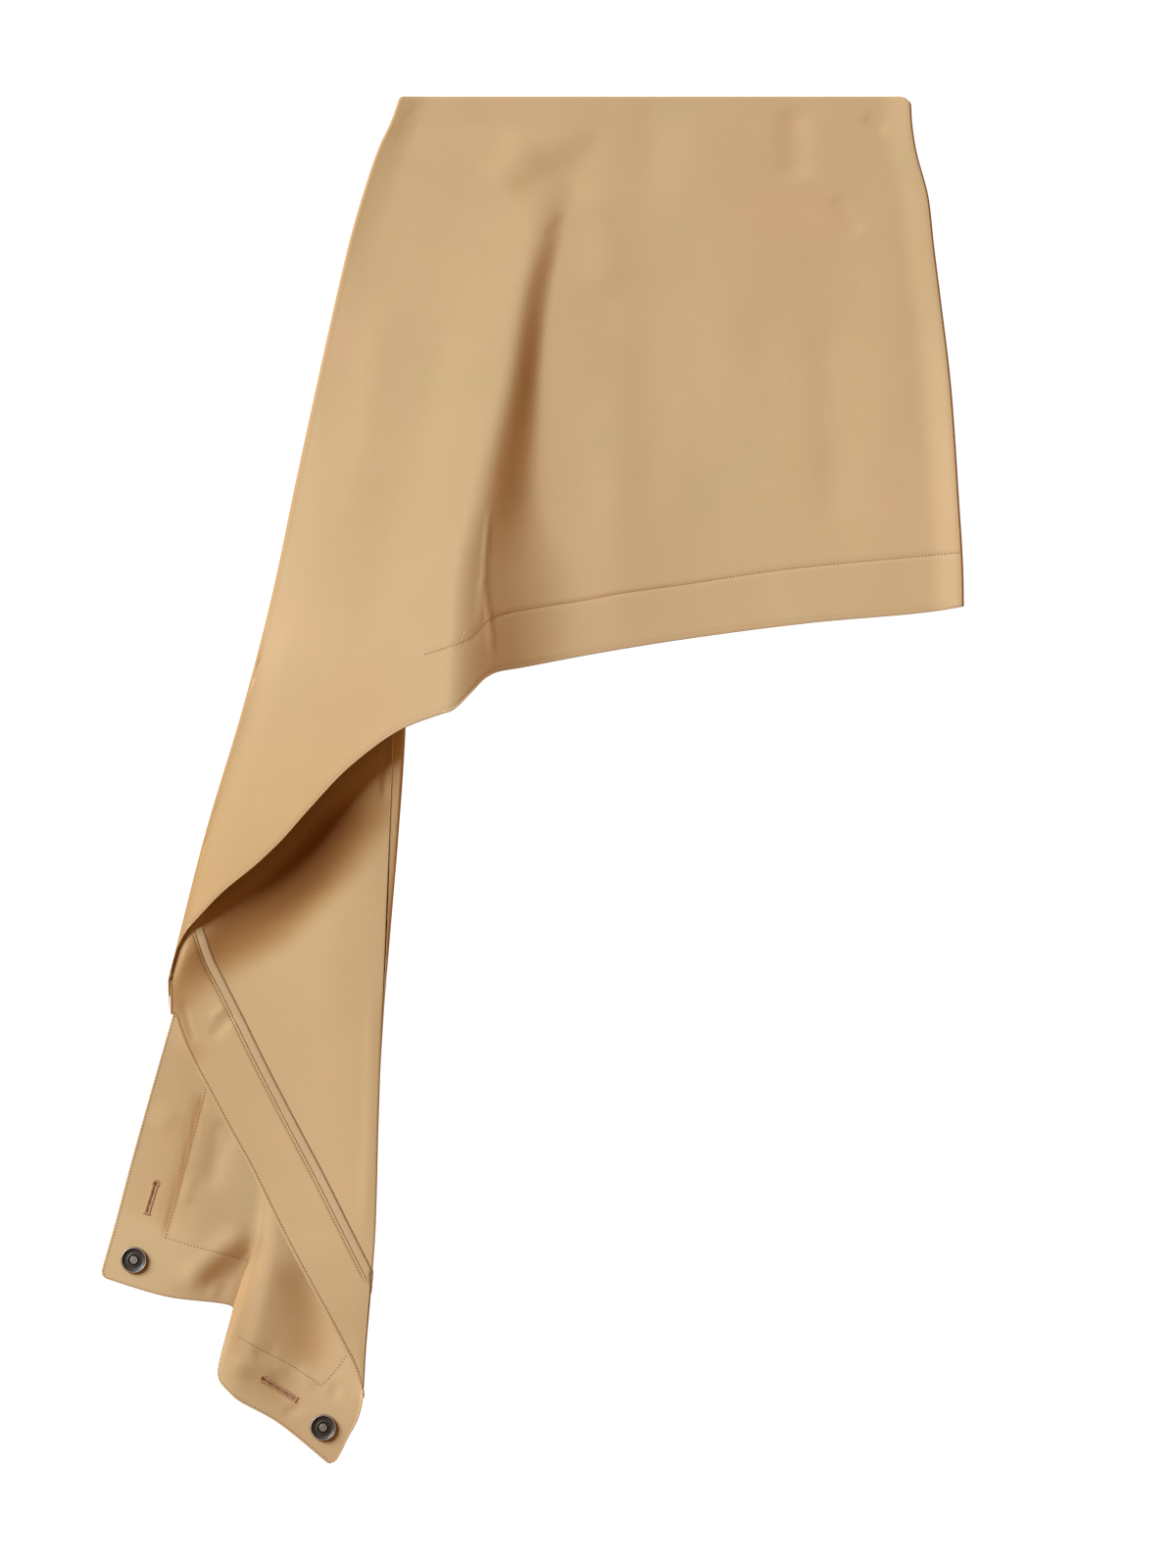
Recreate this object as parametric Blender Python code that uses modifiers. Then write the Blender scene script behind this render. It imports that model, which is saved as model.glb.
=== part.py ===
"""Asymmetric mini skirt, laid flat, with its long tail turned over and back under itself.

Run it with blender --background --python part.py, or from Blender's text editor.

X runs across the skirt, +Y towards its waist and +Z up from the surface it lies on. The
origin is on that surface, in the middle of the footprint. The scene is in metres. The
tables are in millimetres, where "down" is the distance below the waist edge and "height"
is that of the middle of the cloth's wall above the surface.
"""
from collections import namedtuple
from math import atan2, cos, exp, pi, sin, sqrt

import bpy
import numpy as np
from mathutils import Matrix, Vector

MM = 0.001

# Driving sizes in metres
LENGTH = 1.0055           # waist edge to the tail's lower corner
CLOTH_WALL = 0.0015       # wall of the skirt's and the tail's cloth
FACING_WALL = 0.0010      # band stitched on the wrong side
BINDING_WALL = 0.0014     # tape round the band's inner edge
SEAM_GAP = 0.0003         # space between pieces at a seam
SNAP_RADIUS = 0.0097
SNAP_HEIGHT = 0.0024
POST_RADIUS = 0.0036
POST_HEIGHT = 0.0021

# The same walls in the tables' millimetres
WALL = CLOTH_WALL / MM
HALF = WALL / 2
GAP = SEAM_GAP / MM
FACING = FACING_WALL / MM
BINDING = BINDING_WALL / MM

# Front of the skirt: a row for each level. The drape fold has a crest and a foot; to the
# left of the crest the cloth starts at the height "lie" and climbs with the slope "tilt".
Level = namedtuple("Level", "down left crest foot right lie tilt")
FRONT_LEVELS = (
    Level(0.0, -97.0, 31.5, 35.5, 278.5, 4.2, 0.000),
    Level(18.5, -103.5, 29.0, 33.5, 279.5, 4.2, 0.000),
    Level(36.5, -112.0, 27.0, 31.5, 282.0, 4.3, 0.000),
    Level(76.5, -125.5, 21.0, 27.0, 292.0, 4.8, 0.008),
    Level(108.5, -134.5, 9.5, 19.5, 295.5, 5.5, 0.026),
    Level(144.5, -143.0, -3.0, 9.5, 300.0, 6.5, 0.048),
    Level(216.5, -159.0, -19.0, 0.5, 308.5, 8.0, 0.092),
    Level(288.5, -174.5, -31.0, -7.5, 313.5, 9.5, 0.122),
    Level(360.5, -189.5, -41.0, -18.5, 317.4, 9.8, 0.150),
    Level(448.5, -212.0, -56.0, -34.5, 318.0, 10.0, 0.185),
    Level(540.5, -239.5, -71.0, -50.0, 320.5, 10.6, 0.290),
    Level(612.5, -258.0, -83.0, -63.0, 321.0, 11.0, 0.380),
    Level(648.5, -267.0, -88.0, -69.5, 321.5, 11.0, 0.420),
)
REST = 4.2                # height of the front where it lies on the back
CREST_ROUND = 14.0        # how far left of the crest its rounding starts
CREST_DROP = 2.0          # how much the rounding takes off the crest
FULL_CREST_TILT = 0.05    # tilt from which the crest has all of that rounding
FOOT_SHARE = 0.10         # height of the fold's foot as a share of its crest's
FOOT_RUN = 34.0           # from the fold's foot to where the front lies down again
SIDE_RUN = 22.0           # from a side's rounding to where the cloth lies down

# Radius of the side folds, and how far the left one is lifted by the tail's under layer
FoldSize = namedtuple("FoldSize", "down left_radius right_radius lift")
SIDE_FOLDS = (
    FoldSize(0.0, 2.8, 2.8, 0.0),
    FoldSize(150.0, 3.4, 3.2, 0.0),
    FoldSize(300.0, 4.0, 3.4, 0.0),
    FoldSize(396.0, 4.1, 3.4, 0.1),
    FoldSize(440.0, 4.1, 3.4, 1.9),
    FoldSize(660.0, 4.2, 3.4, 1.9),
)

# Front hem, from its turn at the left fold to the right side
HemPoint = namedtuple("HemPoint", "x down")
FRONT_HEM = (
    HemPoint(-261.5, 628.5), HemPoint(-255.0, 615.5), HemPoint(-243.5, 602.0),
    HemPoint(-226.5, 584.5), HemPoint(-202.0, 564.5), HemPoint(-183.0, 546.5),
    HemPoint(-164.0, 525.0), HemPoint(-133.0, 492.5), HemPoint(-92.0, 463.5),
    HemPoint(-68.0, 454.5), HemPoint(-57.5, 451.0), HemPoint(-51.0, 445.5),
    HemPoint(-41.5, 435.5), HemPoint(-33.5, 427.5), HemPoint(-25.0, 423.0),
    HemPoint(-9.0, 420.0), HemPoint(48.5, 409.0), HemPoint(120.5, 397.5),
    HemPoint(207.0, 386.5), HemPoint(293.5, 378.5), HemPoint(318.0, 374.5),
)
TURN_DOWN = 653.0         # where the hem passes round the left fold
TURN_ABOVE = 24.0         # how far the edge runs along the fold on its upper half
TURN_BELOW = 21.0         # and on its lower half
TURN_STILL = 4.5          # the fold's outline stands still from this far above the turn
SIDE_STILL = 440.0        # level from which the right fold's radius stays the same
LEFT_CORNER = 2.8         # corner radii at the waist
RIGHT_CORNER = 8.0

# Soft swells and hollows of the front, each a long oval
Relief = namedtuple("Relief", "x down half_width half_length height")
FRONT_RELIEF = (
    Relief(128.0, 215.0, 26.0, 120.0, 2.2),
    Relief(180.0, 260.0, 20.0, 90.0, 1.2),
    Relief(250.0, 210.0, 24.0, 100.0, 0.9),
    Relief(88.0, 40.0, 14.0, 42.0, -1.1),
    Relief(17.0, 52.0, 18.0, 16.0, -1.1),
    Relief(62.0, 300.0, 20.0, 70.0, 1.0),
)

# Back hem and the hidden seam that joins the back to the tail, one straight line
BACK_HEM_LEFT = HemPoint(-198.0, 400.0)
BACK_HEM_RIGHT = HemPoint(318.0, 369.5)
SEAM_RISE = 4.2           # the seam climbs this much to the start of the tail's fold
SEAM_RISE_X = -99.0
SEAM_RISE_WIDTH = 30.0
SEAM_RISE_LENGTH = 70.0
SEAM_REACH = 36.0         # how far below the seam the tail's upper layer has its own form
SEAM_LEVELS = (300.0, 430.0)   # the seam lies between these levels all along
HEM_TOP = 330.0           # the front's hem is below this level all along

# Fold at the tail's right: "upper" is the outline of its upper half, "outer" that of the
# lobe below it, and the two halves meet in the crease. Past the upper layer's tip, the
# last rows follow the under layer's free edge, which curls up by the angle "curl".
TailFold = namedtuple("TailFold", "down upper outer bottom crease top round curl")
TAIL_FOLDS = (
    TailFold(396.5, -99.0, -90.5, 0.75, 3.0, 5.2, 2.6, 90.0),
    TailFold(465.0, -101.0, -92.5, 0.75, 9.5, 17.0, 7.0, 90.0),
    TailFold(540.5, -104.0, -97.5, 0.75, 9.5, 18.0, 7.0, 90.0),
    TailFold(612.5, -107.0, -103.5, 0.75, 9.0, 17.0, 7.0, 90.0),
    TailFold(684.5, -109.8, -109.0, 0.75, 8.0, 15.0, 6.5, 90.0),
    TailFold(756.5, -112.3, -112.3, 0.75, 7.5, 13.5, 6.0, 90.0),
    TailFold(828.5, -114.3, -114.3, 1.50, 7.5, 13.0, 5.5, 90.0),
    TailFold(882.5, -118.2, -118.2, 3.00, 8.0, 12.8, 5.0, 90.0),
    TailFold(918.5, -121.3, -121.3, 4.00, 7.6, 11.2, 4.0, 90.0),
    TailFold(957.5, -124.0, -124.0, 4.00, 6.4, 8.2, 3.0, 85.0),
    TailFold(970.0, -127.0, -127.0, 3.60, 6.0, 8.0, 3.0, 60.0),
    TailFold(985.0, -134.5, -134.5, 2.40, 4.8, 8.0, 3.0, 40.0),
    TailFold(1001.5, -143.0, -143.0, 1.20, 3.6, 8.0, 3.0, 25.0),
    TailFold(1005.5, -146.5, -146.5, 1.00, 3.4, 8.0, 3.0, 20.0),
)
LOBE_FULL = 8.5           # lobe width at which its half circle is complete

# Edge of the tail's upper layer, from the turn to its tip on the right fold
EdgePoint = namedtuple("EdgePoint", "down x height")
UPPER_EDGE = (
    EdgePoint(674.0, -262.0, 2.75), EdgePoint(684.5, -259.0, 2.9),
    EdgePoint(708.5, -249.0, 3.1), EdgePoint(732.0, -236.5, 3.4),
    EdgePoint(756.5, -223.5, 3.8), EdgePoint(787.0, -206.5, 5.0),
    EdgePoint(828.5, -186.0, 8.0), EdgePoint(858.0, -170.5, 10.5),
    EdgePoint(890.5, -152.5, 11.5), EdgePoint(919.5, -137.0, 10.6),
    EdgePoint(934.0, -129.5, 9.6), EdgePoint(948.0, -124.7, 8.4),
    EdgePoint(957.5, -123.5, 7.0),
)

# Under layer: the lines that run along it, from its hidden top (station 0) to its lower
# edge (station 1), in order from the outer edge to the fold at the right
Line = namedtuple("Line", "station x down height")
OUTER_EDGE = (
    Line(0.0, -201.0, 462.0, 0.75), Line(0.2, -225.0, 541.0, 0.75),
    Line(0.4, -248.0, 621.0, 0.75), Line(0.6, -271.0, 700.0, 0.75),
    Line(0.8, -295.0, 785.0, 0.75), Line(0.9, -305.0, 823.0, 0.75),
    Line(1.0, -317.5, 867.0, 0.75),
)
BULGE = (
    Line(0.0, -180.0, 451.0, 0.75), Line(0.4, -220.5, 625.0, 0.75),
    Line(0.6, -233.0, 720.0, 1.2), Line(0.8, -244.0, 812.0, 3.4),
    Line(0.9, -252.0, 845.0, 5.0), Line(1.0, -268.0, 881.5, 4.4),
)
TUCK = (
    Line(0.0, -158.0, 438.5, 0.75), Line(0.4, -190.5, 630.5, 0.75),
    Line(0.8, -205.0, 830.0, 1.0), Line(0.9, -211.0, 861.0, 0.75),
    Line(1.0, -219.5, 890.0, 0.75),
)
BROW = (
    Line(0.0, -152.5, 435.5, 0.75), Line(0.4, -184.0, 632.0, 0.75),
    Line(0.8, -199.5, 834.0, 2.2), Line(0.9, -216.5, 885.0, 6.0),
    Line(1.0, -230.7, 937.0, 6.6),
)
CREST = (
    Line(0.0, -147.5, 433.0, 0.75), Line(0.4, -177.0, 633.0, 0.75),
    Line(0.8, -192.0, 838.0, 4.2), Line(0.9, -208.0, 892.0, 11.2),
    Line(1.0, -222.0, 954.0, 11.0),
)
DIP = (
    Line(0.0, -133.0, 425.0, 0.75), Line(0.4, -158.0, 636.5, 0.75),
    Line(0.7, -165.0, 775.0, 0.75), Line(0.8, -168.0, 855.0, 0.75),
    Line(0.9, -176.0, 912.0, 0.9), Line(1.0, -188.0, 973.0, 2.6),
)
UNDER_LINES = (OUTER_EDGE, BULGE, TUCK, BROW, CREST, DIP)
Side = namedtuple("Side", "station down")
UNDER_SIDE = (
    Side(0.0, 404.0), Side(0.4, 645.0), Side(0.6, 765.0),
    Side(0.8, 884.0), Side(0.9, 945.0), Side(1.0, 1005.5),
)

# Band along the upper layer's edge: where its two edges are, station by station, and the
# lines of the tape round its inner edge
Band = namedtuple("Band", "outer_down inner_down tape_down")
BANDS = (
    Band(626.0, 614.0, 606.0), Band(655.0, 638.0, 630.0), Band(684.5, 664.0, 656.0),
    Band(708.5, 689.0, 681.0), Band(732.0, 712.0, 704.0), Band(756.5, 737.0, 729.0),
    Band(787.0, 768.0, 760.0), Band(828.5, 811.0, 803.0), Band(858.0, 842.0, 834.0),
    Band(884.0, 868.0, 853.0), Band(906.0, 893.0, 868.0), Band(930.0, 922.0, 880.0),
)
TapeEdge = namedtuple("TapeEdge", "down x")
TAPE_LEFT = (
    TapeEdge(606.0, -249.5), TapeEdge(635.0, -240.0), TapeEdge(651.0, -232.0),
    TapeEdge(680.5, -217.0), TapeEdge(713.0, -201.0), TapeEdge(754.5, -179.5),
    TapeEdge(798.0, -156.5), TapeEdge(834.0, -138.5), TapeEdge(873.5, -118.5),
)
TAPE_WIDTH = 5.2
TAPE_SLANT = 3.0          # how far up the tail the tape's far side is from its near side
TAPE_STATIONS = 9         # the tape leaves over the fold before the band does
FOLD_MARGIN = 0.8         # how far over the top of the fold band and tape reach

# Snaps: centre, and how they stand on the under layer
SnapPlace = namedtuple("SnapPlace", "name x down")
SNAPS = (SnapPlace("snap_a", -292.0, 854.5), SnapPlace("snap_b", -153.0, 977.5))
SNAP_STANDOFF = 0.5

# Grid sizes
ROWS_FRONT = 27
ROWS_BACK = 14
ROWS_UPPER = 27
ROWS_UNDER = 31
ROWS_FACING = 23
ROWS_TAPE = 19
DRAPE_COLUMNS = 10        # front: left of the fold's crest, down its wall, and right of its foot
WALL_COLUMNS = 5
APRON_COLUMNS = 12
APRON_CROWDING = 1.25     # more than 1 puts the apron's columns closer together at the foot
BACK_COLUMNS = 16
UPPER_COLUMNS = 11
FACING_COLUMNS = 5
TAPE_COLUMNS = 2
LOBE_SHARES = (0.0, 0.2, 0.4, 0.6, 0.78, 0.93)
ARC_SHARES = (0.0, 0.06, 0.37, 0.68)   # columns round a side fold, close together at its seam

CAMEL = (0.604, 0.407, 0.219)
CAMEL_WRONG_SIDE = (0.590, 0.392, 0.205)
CAMEL_BAND = (0.578, 0.385, 0.200)
TAPE = (0.565, 0.390, 0.225)
GUNMETAL = (0.060, 0.055, 0.052)
STEEL = (0.300, 0.285, 0.270)


def smooth_curve(knots, values):
    """Return a smooth function through the points that never overshoots them."""
    x = np.array(knots, dtype=float)
    y = np.array(values, dtype=float)
    step = np.diff(x)
    slope = np.diff(y) / step
    tangent = np.zeros(len(x))
    tangent[0] = slope[0]
    tangent[-1] = slope[-1]
    for i in range(1, len(x) - 1):
        if slope[i - 1] * slope[i] > 0:
            before = step[i] * 2 + step[i - 1]
            after = step[i] + step[i - 1] * 2
            tangent[i] = (before + after) / (before / slope[i - 1] + after / slope[i])

    def curve(at):
        if at <= x[0]:
            return float(y[0] + tangent[0] * (at - x[0]))
        if at >= x[-1]:
            return float(y[-1] + tangent[-1] * (at - x[-1]))
        i = int(np.searchsorted(x, at) - 1)
        u = (at - x[i]) / step[i]
        rise = y[i + 1] - y[i]
        first = tangent[i] * step[i]
        last = tangent[i + 1] * step[i]
        return float(y[i] + u * first + u * u * (3 * rise - 2 * first - last)
                     + u * u * u * (first + last - 2 * rise))

    return curve


def table_curves(table, key):
    """Return one smooth curve for each column of a table, by name, over its key column."""
    knots = [getattr(row, key) for row in table]
    return {
        name: smooth_curve(knots, [getattr(row, name) for row in table])
        for name in table[0]._fields if name != key
    }


def ease(u):
    """Blend from 0 to 1, level at both ends."""
    u = min(max(u, 0.0), 1.0)
    return u * u * (3 - 2 * u)


def mix(a, b, u):
    return a + (b - a) * u


FRONT = table_curves(FRONT_LEVELS, "down")
SIDES = table_curves(SIDE_FOLDS, "down")
HEM = smooth_curve([p.x for p in FRONT_HEM], [p.down for p in FRONT_HEM])
FOLD = table_curves(TAIL_FOLDS, "down")
EDGE = table_curves(UPPER_EDGE, "down")
TAPE_INNER = smooth_curve([p.down for p in TAPE_LEFT], [p.x for p in TAPE_LEFT])
SIDE_DOWN = smooth_curve([p.station for p in UNDER_SIDE], [p.down for p in UNDER_SIDE])
UNDER = [table_curves(line, "station") for line in UNDER_LINES]


def left_outline(down):
    """Outline of the left fold, which stands still below the hem's turn."""
    return FRONT["left"](min(down, TURN_DOWN - TURN_STILL))


def left_fold(down):
    """Height of the left fold's seam, and the radii of its upper and lower halves."""
    at = min(down, TURN_DOWN)
    radius = SIDES["left_radius"](at)
    middle = HALF + radius + SIDES["lift"](at)
    return middle, radius, radius - GAP / 2


def right_fold(down):
    radius = SIDES["right_radius"](min(down, SIDE_STILL))
    return HALF + radius, radius


def corner_drop(x, down):
    """How far below the waist edge a column starts, for the rounded corners."""
    left = x - FRONT["left"](down)
    right = FRONT["right"](down) - x
    for distance, radius in ((left, LEFT_CORNER), (right, RIGHT_CORNER)):
        if distance < radius:
            return radius - sqrt(radius ** 2 - (radius - max(distance, 0.0)) ** 2)
    return 0.0


def relief(x, down):
    """Height of the soft swells and hollows at a point of the front."""
    return sum(
        oval.height * exp(-((x - oval.x) / oval.half_width) ** 2
                          - ((down - oval.down) / oval.half_length) ** 2)
        for oval in FRONT_RELIEF
    )


def front_section(down):
    """Height across the front at one level, as a curve over x, with its arcs' ends."""
    middle, radius, _ = left_fold(down)
    tilt = FRONT["tilt"](down)
    lie = FRONT["lie"](down)
    turn = atan2(1.0, tilt)
    arc_x = left_outline(down) + HALF + radius * (1 - cos(turn))
    arc_z = middle + GAP / 2 + radius * sin(turn)
    side_z, side_radius = right_fold(down)
    side_x = FRONT["right"](down) - HALF - side_radius
    crest = FRONT["crest"](down)
    foot = FRONT["foot"](down)
    crest_z = lie + tilt * (crest - arc_x)
    foot_z = REST + FOOT_SHARE * max(crest_z - REST, 0.0)
    stations = (
        (arc_x, arc_z),
        (arc_x + SIDE_RUN, lie + tilt * SIDE_RUN),
        (crest - CREST_ROUND, crest_z - tilt * CREST_ROUND),
        (crest, crest_z - CREST_DROP * ease(tilt / FULL_CREST_TILT)),
        (foot, foot_z),
        (foot + FOOT_RUN, REST),
        (side_x - SIDE_RUN, REST),
        (side_x, side_z + GAP / 2 + side_radius),
    )
    height = smooth_curve([s[0] for s in stations], [s[1] for s in stations])
    return height, turn, arc_x, side_x


def right_arc_columns():
    """Columns round a fold at the right, from its top or foot out to its seam."""
    return [("right_arc", 1 - share) for share in (1.0, *reversed(ARC_SHARES))]


def front_columns():
    """Name and fraction of each column across the front, left to right."""
    columns = [("left_arc", share) for share in ARC_SHARES]
    columns += [("drape", i / DRAPE_COLUMNS) for i in range(DRAPE_COLUMNS)]
    columns += [("wall", i / WALL_COLUMNS) for i in range(WALL_COLUMNS)]
    columns += [
        ("apron", (i / APRON_COLUMNS) ** APRON_CROWDING) for i in range(APRON_COLUMNS)
    ]
    columns += right_arc_columns()
    return columns


def front_point(column, down):
    """Point of the front's middle surface on a column at a level."""
    part, share = column
    height, turn, arc_x, side_x = front_section(down)
    crest = FRONT["crest"](down)
    foot = FRONT["foot"](down)
    if part == "left_arc":
        middle, radius, _ = left_fold(down)
        x = left_outline(down) + HALF + radius * (1 - cos(turn * share))
        return x, down, middle + GAP / 2 + radius * sin(turn * share)
    if part == "right_arc":
        side_z, radius = right_fold(down)
        angle = pi / 2 * (1 - share)
        x = FRONT["right"](down) - HALF - radius * (1 - cos(angle))
        return x, down, side_z + GAP / 2 + radius * sin(angle)
    ends = {"drape": (arc_x, crest), "wall": (crest, foot), "apron": (foot, side_x)}
    x = mix(*ends[part], share)
    return x, down, height(x) + relief(x, down)


def meet(column_point, edge_down, top, bottom):
    """Level at which a column reaches an edge given as a curve over x."""
    for _ in range(40):
        middle = (top + bottom) / 2
        if middle < edge_down(column_point(middle)[0]):
            top = middle
        else:
            bottom = middle
    return top


def front_grid():
    rows = []
    columns = front_columns()
    starts = [corner_drop(front_point(c, 0.0)[0], 0.0) for c in columns]
    ends = []
    for column in columns:
        if column[0] == "left_arc":
            ends.append(TURN_DOWN - TURN_ABOVE * column[1])
        else:
            reach = TURN_DOWN - TURN_ABOVE
            ends.append(meet(lambda d, c=column: front_point(c, d), HEM, HEM_TOP, reach))
    for i in range(ROWS_FRONT):
        share = i / (ROWS_FRONT - 1)
        rows.append([front_point(c, mix(s, e, share)) for c, s, e in zip(columns, starts, ends)])
    return rows


def seam_down(x):
    """The straight line of the back hem and the tail's hidden seam."""
    a, b = BACK_HEM_LEFT, BACK_HEM_RIGHT
    return mix(a.down, b.down, (x - a.x) / (b.x - a.x))


def seam_rise(x, down):
    across = exp(-((x - SEAM_RISE_X) / SEAM_RISE_WIDTH) ** 2)
    return SEAM_RISE * across * ease((down - (seam_down(x) - SEAM_RISE_LENGTH)) / SEAM_RISE_LENGTH)


def lower_arc(down, share):
    """Point on the lower half of the left fold, from its seam to the surface below."""
    middle, radius, lower = left_fold(down)
    angle = pi / 2 * share
    x = left_outline(down) + HALF + radius * (1 - cos(angle))
    return x, down, middle - GAP / 2 - lower * sin(angle)


def back_point(column, down):
    part, share = column
    if part == "left_arc":
        return lower_arc(down, share)
    middle, radius = right_fold(down)
    right = FRONT["right"](down) - HALF
    if part == "right_arc":
        angle = pi / 2 * (1 - share)
        return (right - radius * (1 - cos(angle)), down,
                middle - GAP / 2 - (radius - GAP / 2) * sin(angle))
    left = lower_arc(down, 1.0)[0]
    x = mix(left, right - radius, share)
    return x, down, HALF + seam_rise(x, down)


def back_grid():
    columns = [("left_arc", share) for share in ARC_SHARES]
    columns += [("flat", i / BACK_COLUMNS) for i in range(BACK_COLUMNS)]
    columns += right_arc_columns()
    rows = []
    for i in range(ROWS_BACK):
        row = []
        for column in columns:
            start = corner_drop(back_point(column, 0.0)[0], 0.0)
            end = meet(lambda d, c=column: back_point(c, d), seam_down, *SEAM_LEVELS)
            row.append(back_point(column, mix(start, end - GAP / 2, i / (ROWS_BACK - 1))))
        rows.append(row)
    return rows


def upper_height(x, down):
    """Height of the tail's upper layer between its left side and the top of its fold."""
    top_x = FOLD["upper"](down) - HALF - FOLD["round"](down)
    if x > top_x:
        u = min((x - top_x) / FOLD["round"](down), 1.0)
        drop = FOLD["top"](down) - FOLD["crease"](down)
        return FOLD["top"](down) - drop * (1 - sqrt(1 - u * u))
    if down < UPPER_EDGE[0].down:
        left, _, low = lower_arc(down, 1.0)
    else:
        left, low = EDGE["x"](down), EDGE["height"](down)
    u = (x - left) / max(top_x - left, 1.0)
    fold_height = mix(low, FOLD["top"](down), ease(u))
    beside_seam = HALF + seam_rise(x, down)
    return mix(beside_seam, fold_height, ease((down - seam_down(x)) / SEAM_REACH))


def upper_point(column, down):
    part, share = column
    if part == "left_arc":
        return lower_arc(down, share)
    top_x = FOLD["upper"](down) - HALF - FOLD["round"](down)
    if part == "right_arc":
        angle = pi / 2 * (1 - share)
        x = top_x + FOLD["round"](down) * cos(angle)
        drop = FOLD["top"](down) - FOLD["crease"](down)
        return x, down, FOLD["crease"](down) + GAP / 2 + drop * sin(angle)
    x = mix(lower_arc(down, 1.0)[0], top_x, share)
    return x, down, upper_height(x, down)


def upper_edge_down():
    """The upper layer's edge as a curve over x."""
    return smooth_curve([p.x for p in UPPER_EDGE], [p.down for p in UPPER_EDGE])


def upper_grid():
    columns = [("left_arc", share) for share in ARC_SHARES]
    columns += [("flat", i / UPPER_COLUMNS) for i in range(UPPER_COLUMNS + 1)]
    columns += right_arc_columns()[1:]
    edge = upper_edge_down()
    first = UPPER_EDGE[0].down - TURN_BELOW
    tip = UPPER_EDGE[-1].down
    ends = []
    for column in columns:
        part, share = column
        if part == "left_arc":
            ends.append(TURN_DOWN + TURN_BELOW * share)
        elif part == "flat":
            ends.append(meet(lambda d, c=column: upper_point(c, d), edge, first, tip))
        else:
            ends.append(mix(ends[len(ARC_SHARES) + UPPER_COLUMNS], tip, share))
    starts = [meet(lambda d, c=c: upper_point(c, d), seam_down, *SEAM_LEVELS) for c in columns]
    rows = []
    for i in range(ROWS_UPPER):
        share = i / (ROWS_UPPER - 1)
        rows.append([
            upper_point(c, mix(s + GAP / 2, e, share))
            for c, s, e in zip(columns, starts, ends)
        ])
    return rows


def lobe_section(down):
    """Radius, closing angle and end of the lobe under the fold's crease."""
    lobe = min(max((FOLD["outer"](down) - FOLD["upper"](down)) / LOBE_FULL, 0.0), 1.0)
    rise = FOLD["crease"](down) - FOLD["bottom"](down)
    radius = mix(rise, rise / 2, lobe)
    angle = mix(FOLD["curl"](down), 170.0, lobe) * pi / 180
    end_z = FOLD["crease"](down) - mix(GAP / 2, GAP / 2 + HALF, lobe)
    return lobe, radius, angle, end_z


def under_side(station):
    """Where the under layer meets the foot of the fold at its right."""
    down = SIDE_DOWN(station)
    _, radius, angle, _ = lobe_section(down)
    x = FOLD["outer"](down) - HALF - radius * sin(min(angle, pi / 2))
    return x, down, FOLD["bottom"](down)


def under_point(place, station):
    """Point of the under layer: place 0 is its outer edge, 6 the foot of the right fold."""
    keys = [(line["x"](station), line["down"](station), line["height"](station))
            for line in UNDER]
    keys.append(under_side(station))
    return tuple(smooth_curve(range(7), [key[axis] for key in keys])(place) for axis in range(3))


def lobe_point(share, station):
    """Point round the lobe, from the under layer towards the crease."""
    down = SIDE_DOWN(station)
    _, radius, angle, end_z = lobe_section(down)
    bottom = FOLD["bottom"](down)
    reach = under_side(station)[0]
    turn = angle * share
    climb = radius
    if down < UPPER_EDGE[-1].down:
        climb = (end_z - bottom) / (1 - cos(angle))
    return reach + radius * sin(turn), down, bottom + climb * (1 - cos(turn))


def lobe_end(station):
    """Last point round the lobe, in the crease, or on the free edge past the tip."""
    lobe = lobe_section(SIDE_DOWN(station))[0]
    x, down, z = lobe_point(1.0, station)
    return mix(x, FOLD["upper"](down) - WALL, lobe), down, z


def under_grid():
    places = [i / 4 for i in range(8)]
    places += [2 + i / 3 for i in range(12)]
    rows = []
    for i in range(ROWS_UNDER):
        station = i / (ROWS_UNDER - 1)
        row = [under_point(place, station) for place in places]
        row += [lobe_point(share, station) for share in LOBE_SHARES]
        row.append(lobe_end(station))
        rows.append(row)
    return rows


def on_upper(x, down, offset):
    """Point standing off the tail's upper layer, along its normal."""
    reach = 0.5
    across = (upper_height(x + reach, down) - upper_height(x - reach, down)) / (2 * reach)
    along = (upper_height(x, down + reach) - upper_height(x, down - reach)) / (2 * reach)
    length = sqrt(1 + across ** 2 + along ** 2)
    return (x - across / length * offset, down - along / length * offset,
            upper_height(x, down) + offset / length)


def band_line(name):
    """Curve over the band's stations of one of its columns."""
    return smooth_curve(range(len(BANDS)), [getattr(band, name) for band in BANDS])


def within_fold(x, down):
    """Keep a point of the band short of where the fold turns down."""
    return min(x, FOLD["upper"](down) - HALF - FOLD["round"](down) + FOLD_MARGIN)


def facing_grid():
    outer_down = band_line("outer_down")
    inner_down = band_line("inner_down")
    stand = HALF + GAP + FACING / 2
    rows = []
    for i in range(ROWS_FACING):
        station = (len(BANDS) - 1) * i / (ROWS_FACING - 1)
        low = outer_down(station)
        high = inner_down(station)
        on_edge = low > UPPER_EDGE[0].down
        outer_x = EDGE["x"](low) if on_edge else lower_arc(low, 1.0)[0] + 2 * GAP
        inner_x = within_fold(TAPE_INNER(high), high)
        rows.append([
            on_upper(mix(outer_x, inner_x, j / FACING_COLUMNS),
                     mix(low, high, j / FACING_COLUMNS), stand)
            for j in range(FACING_COLUMNS + 1)
        ])
    return rows


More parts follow.
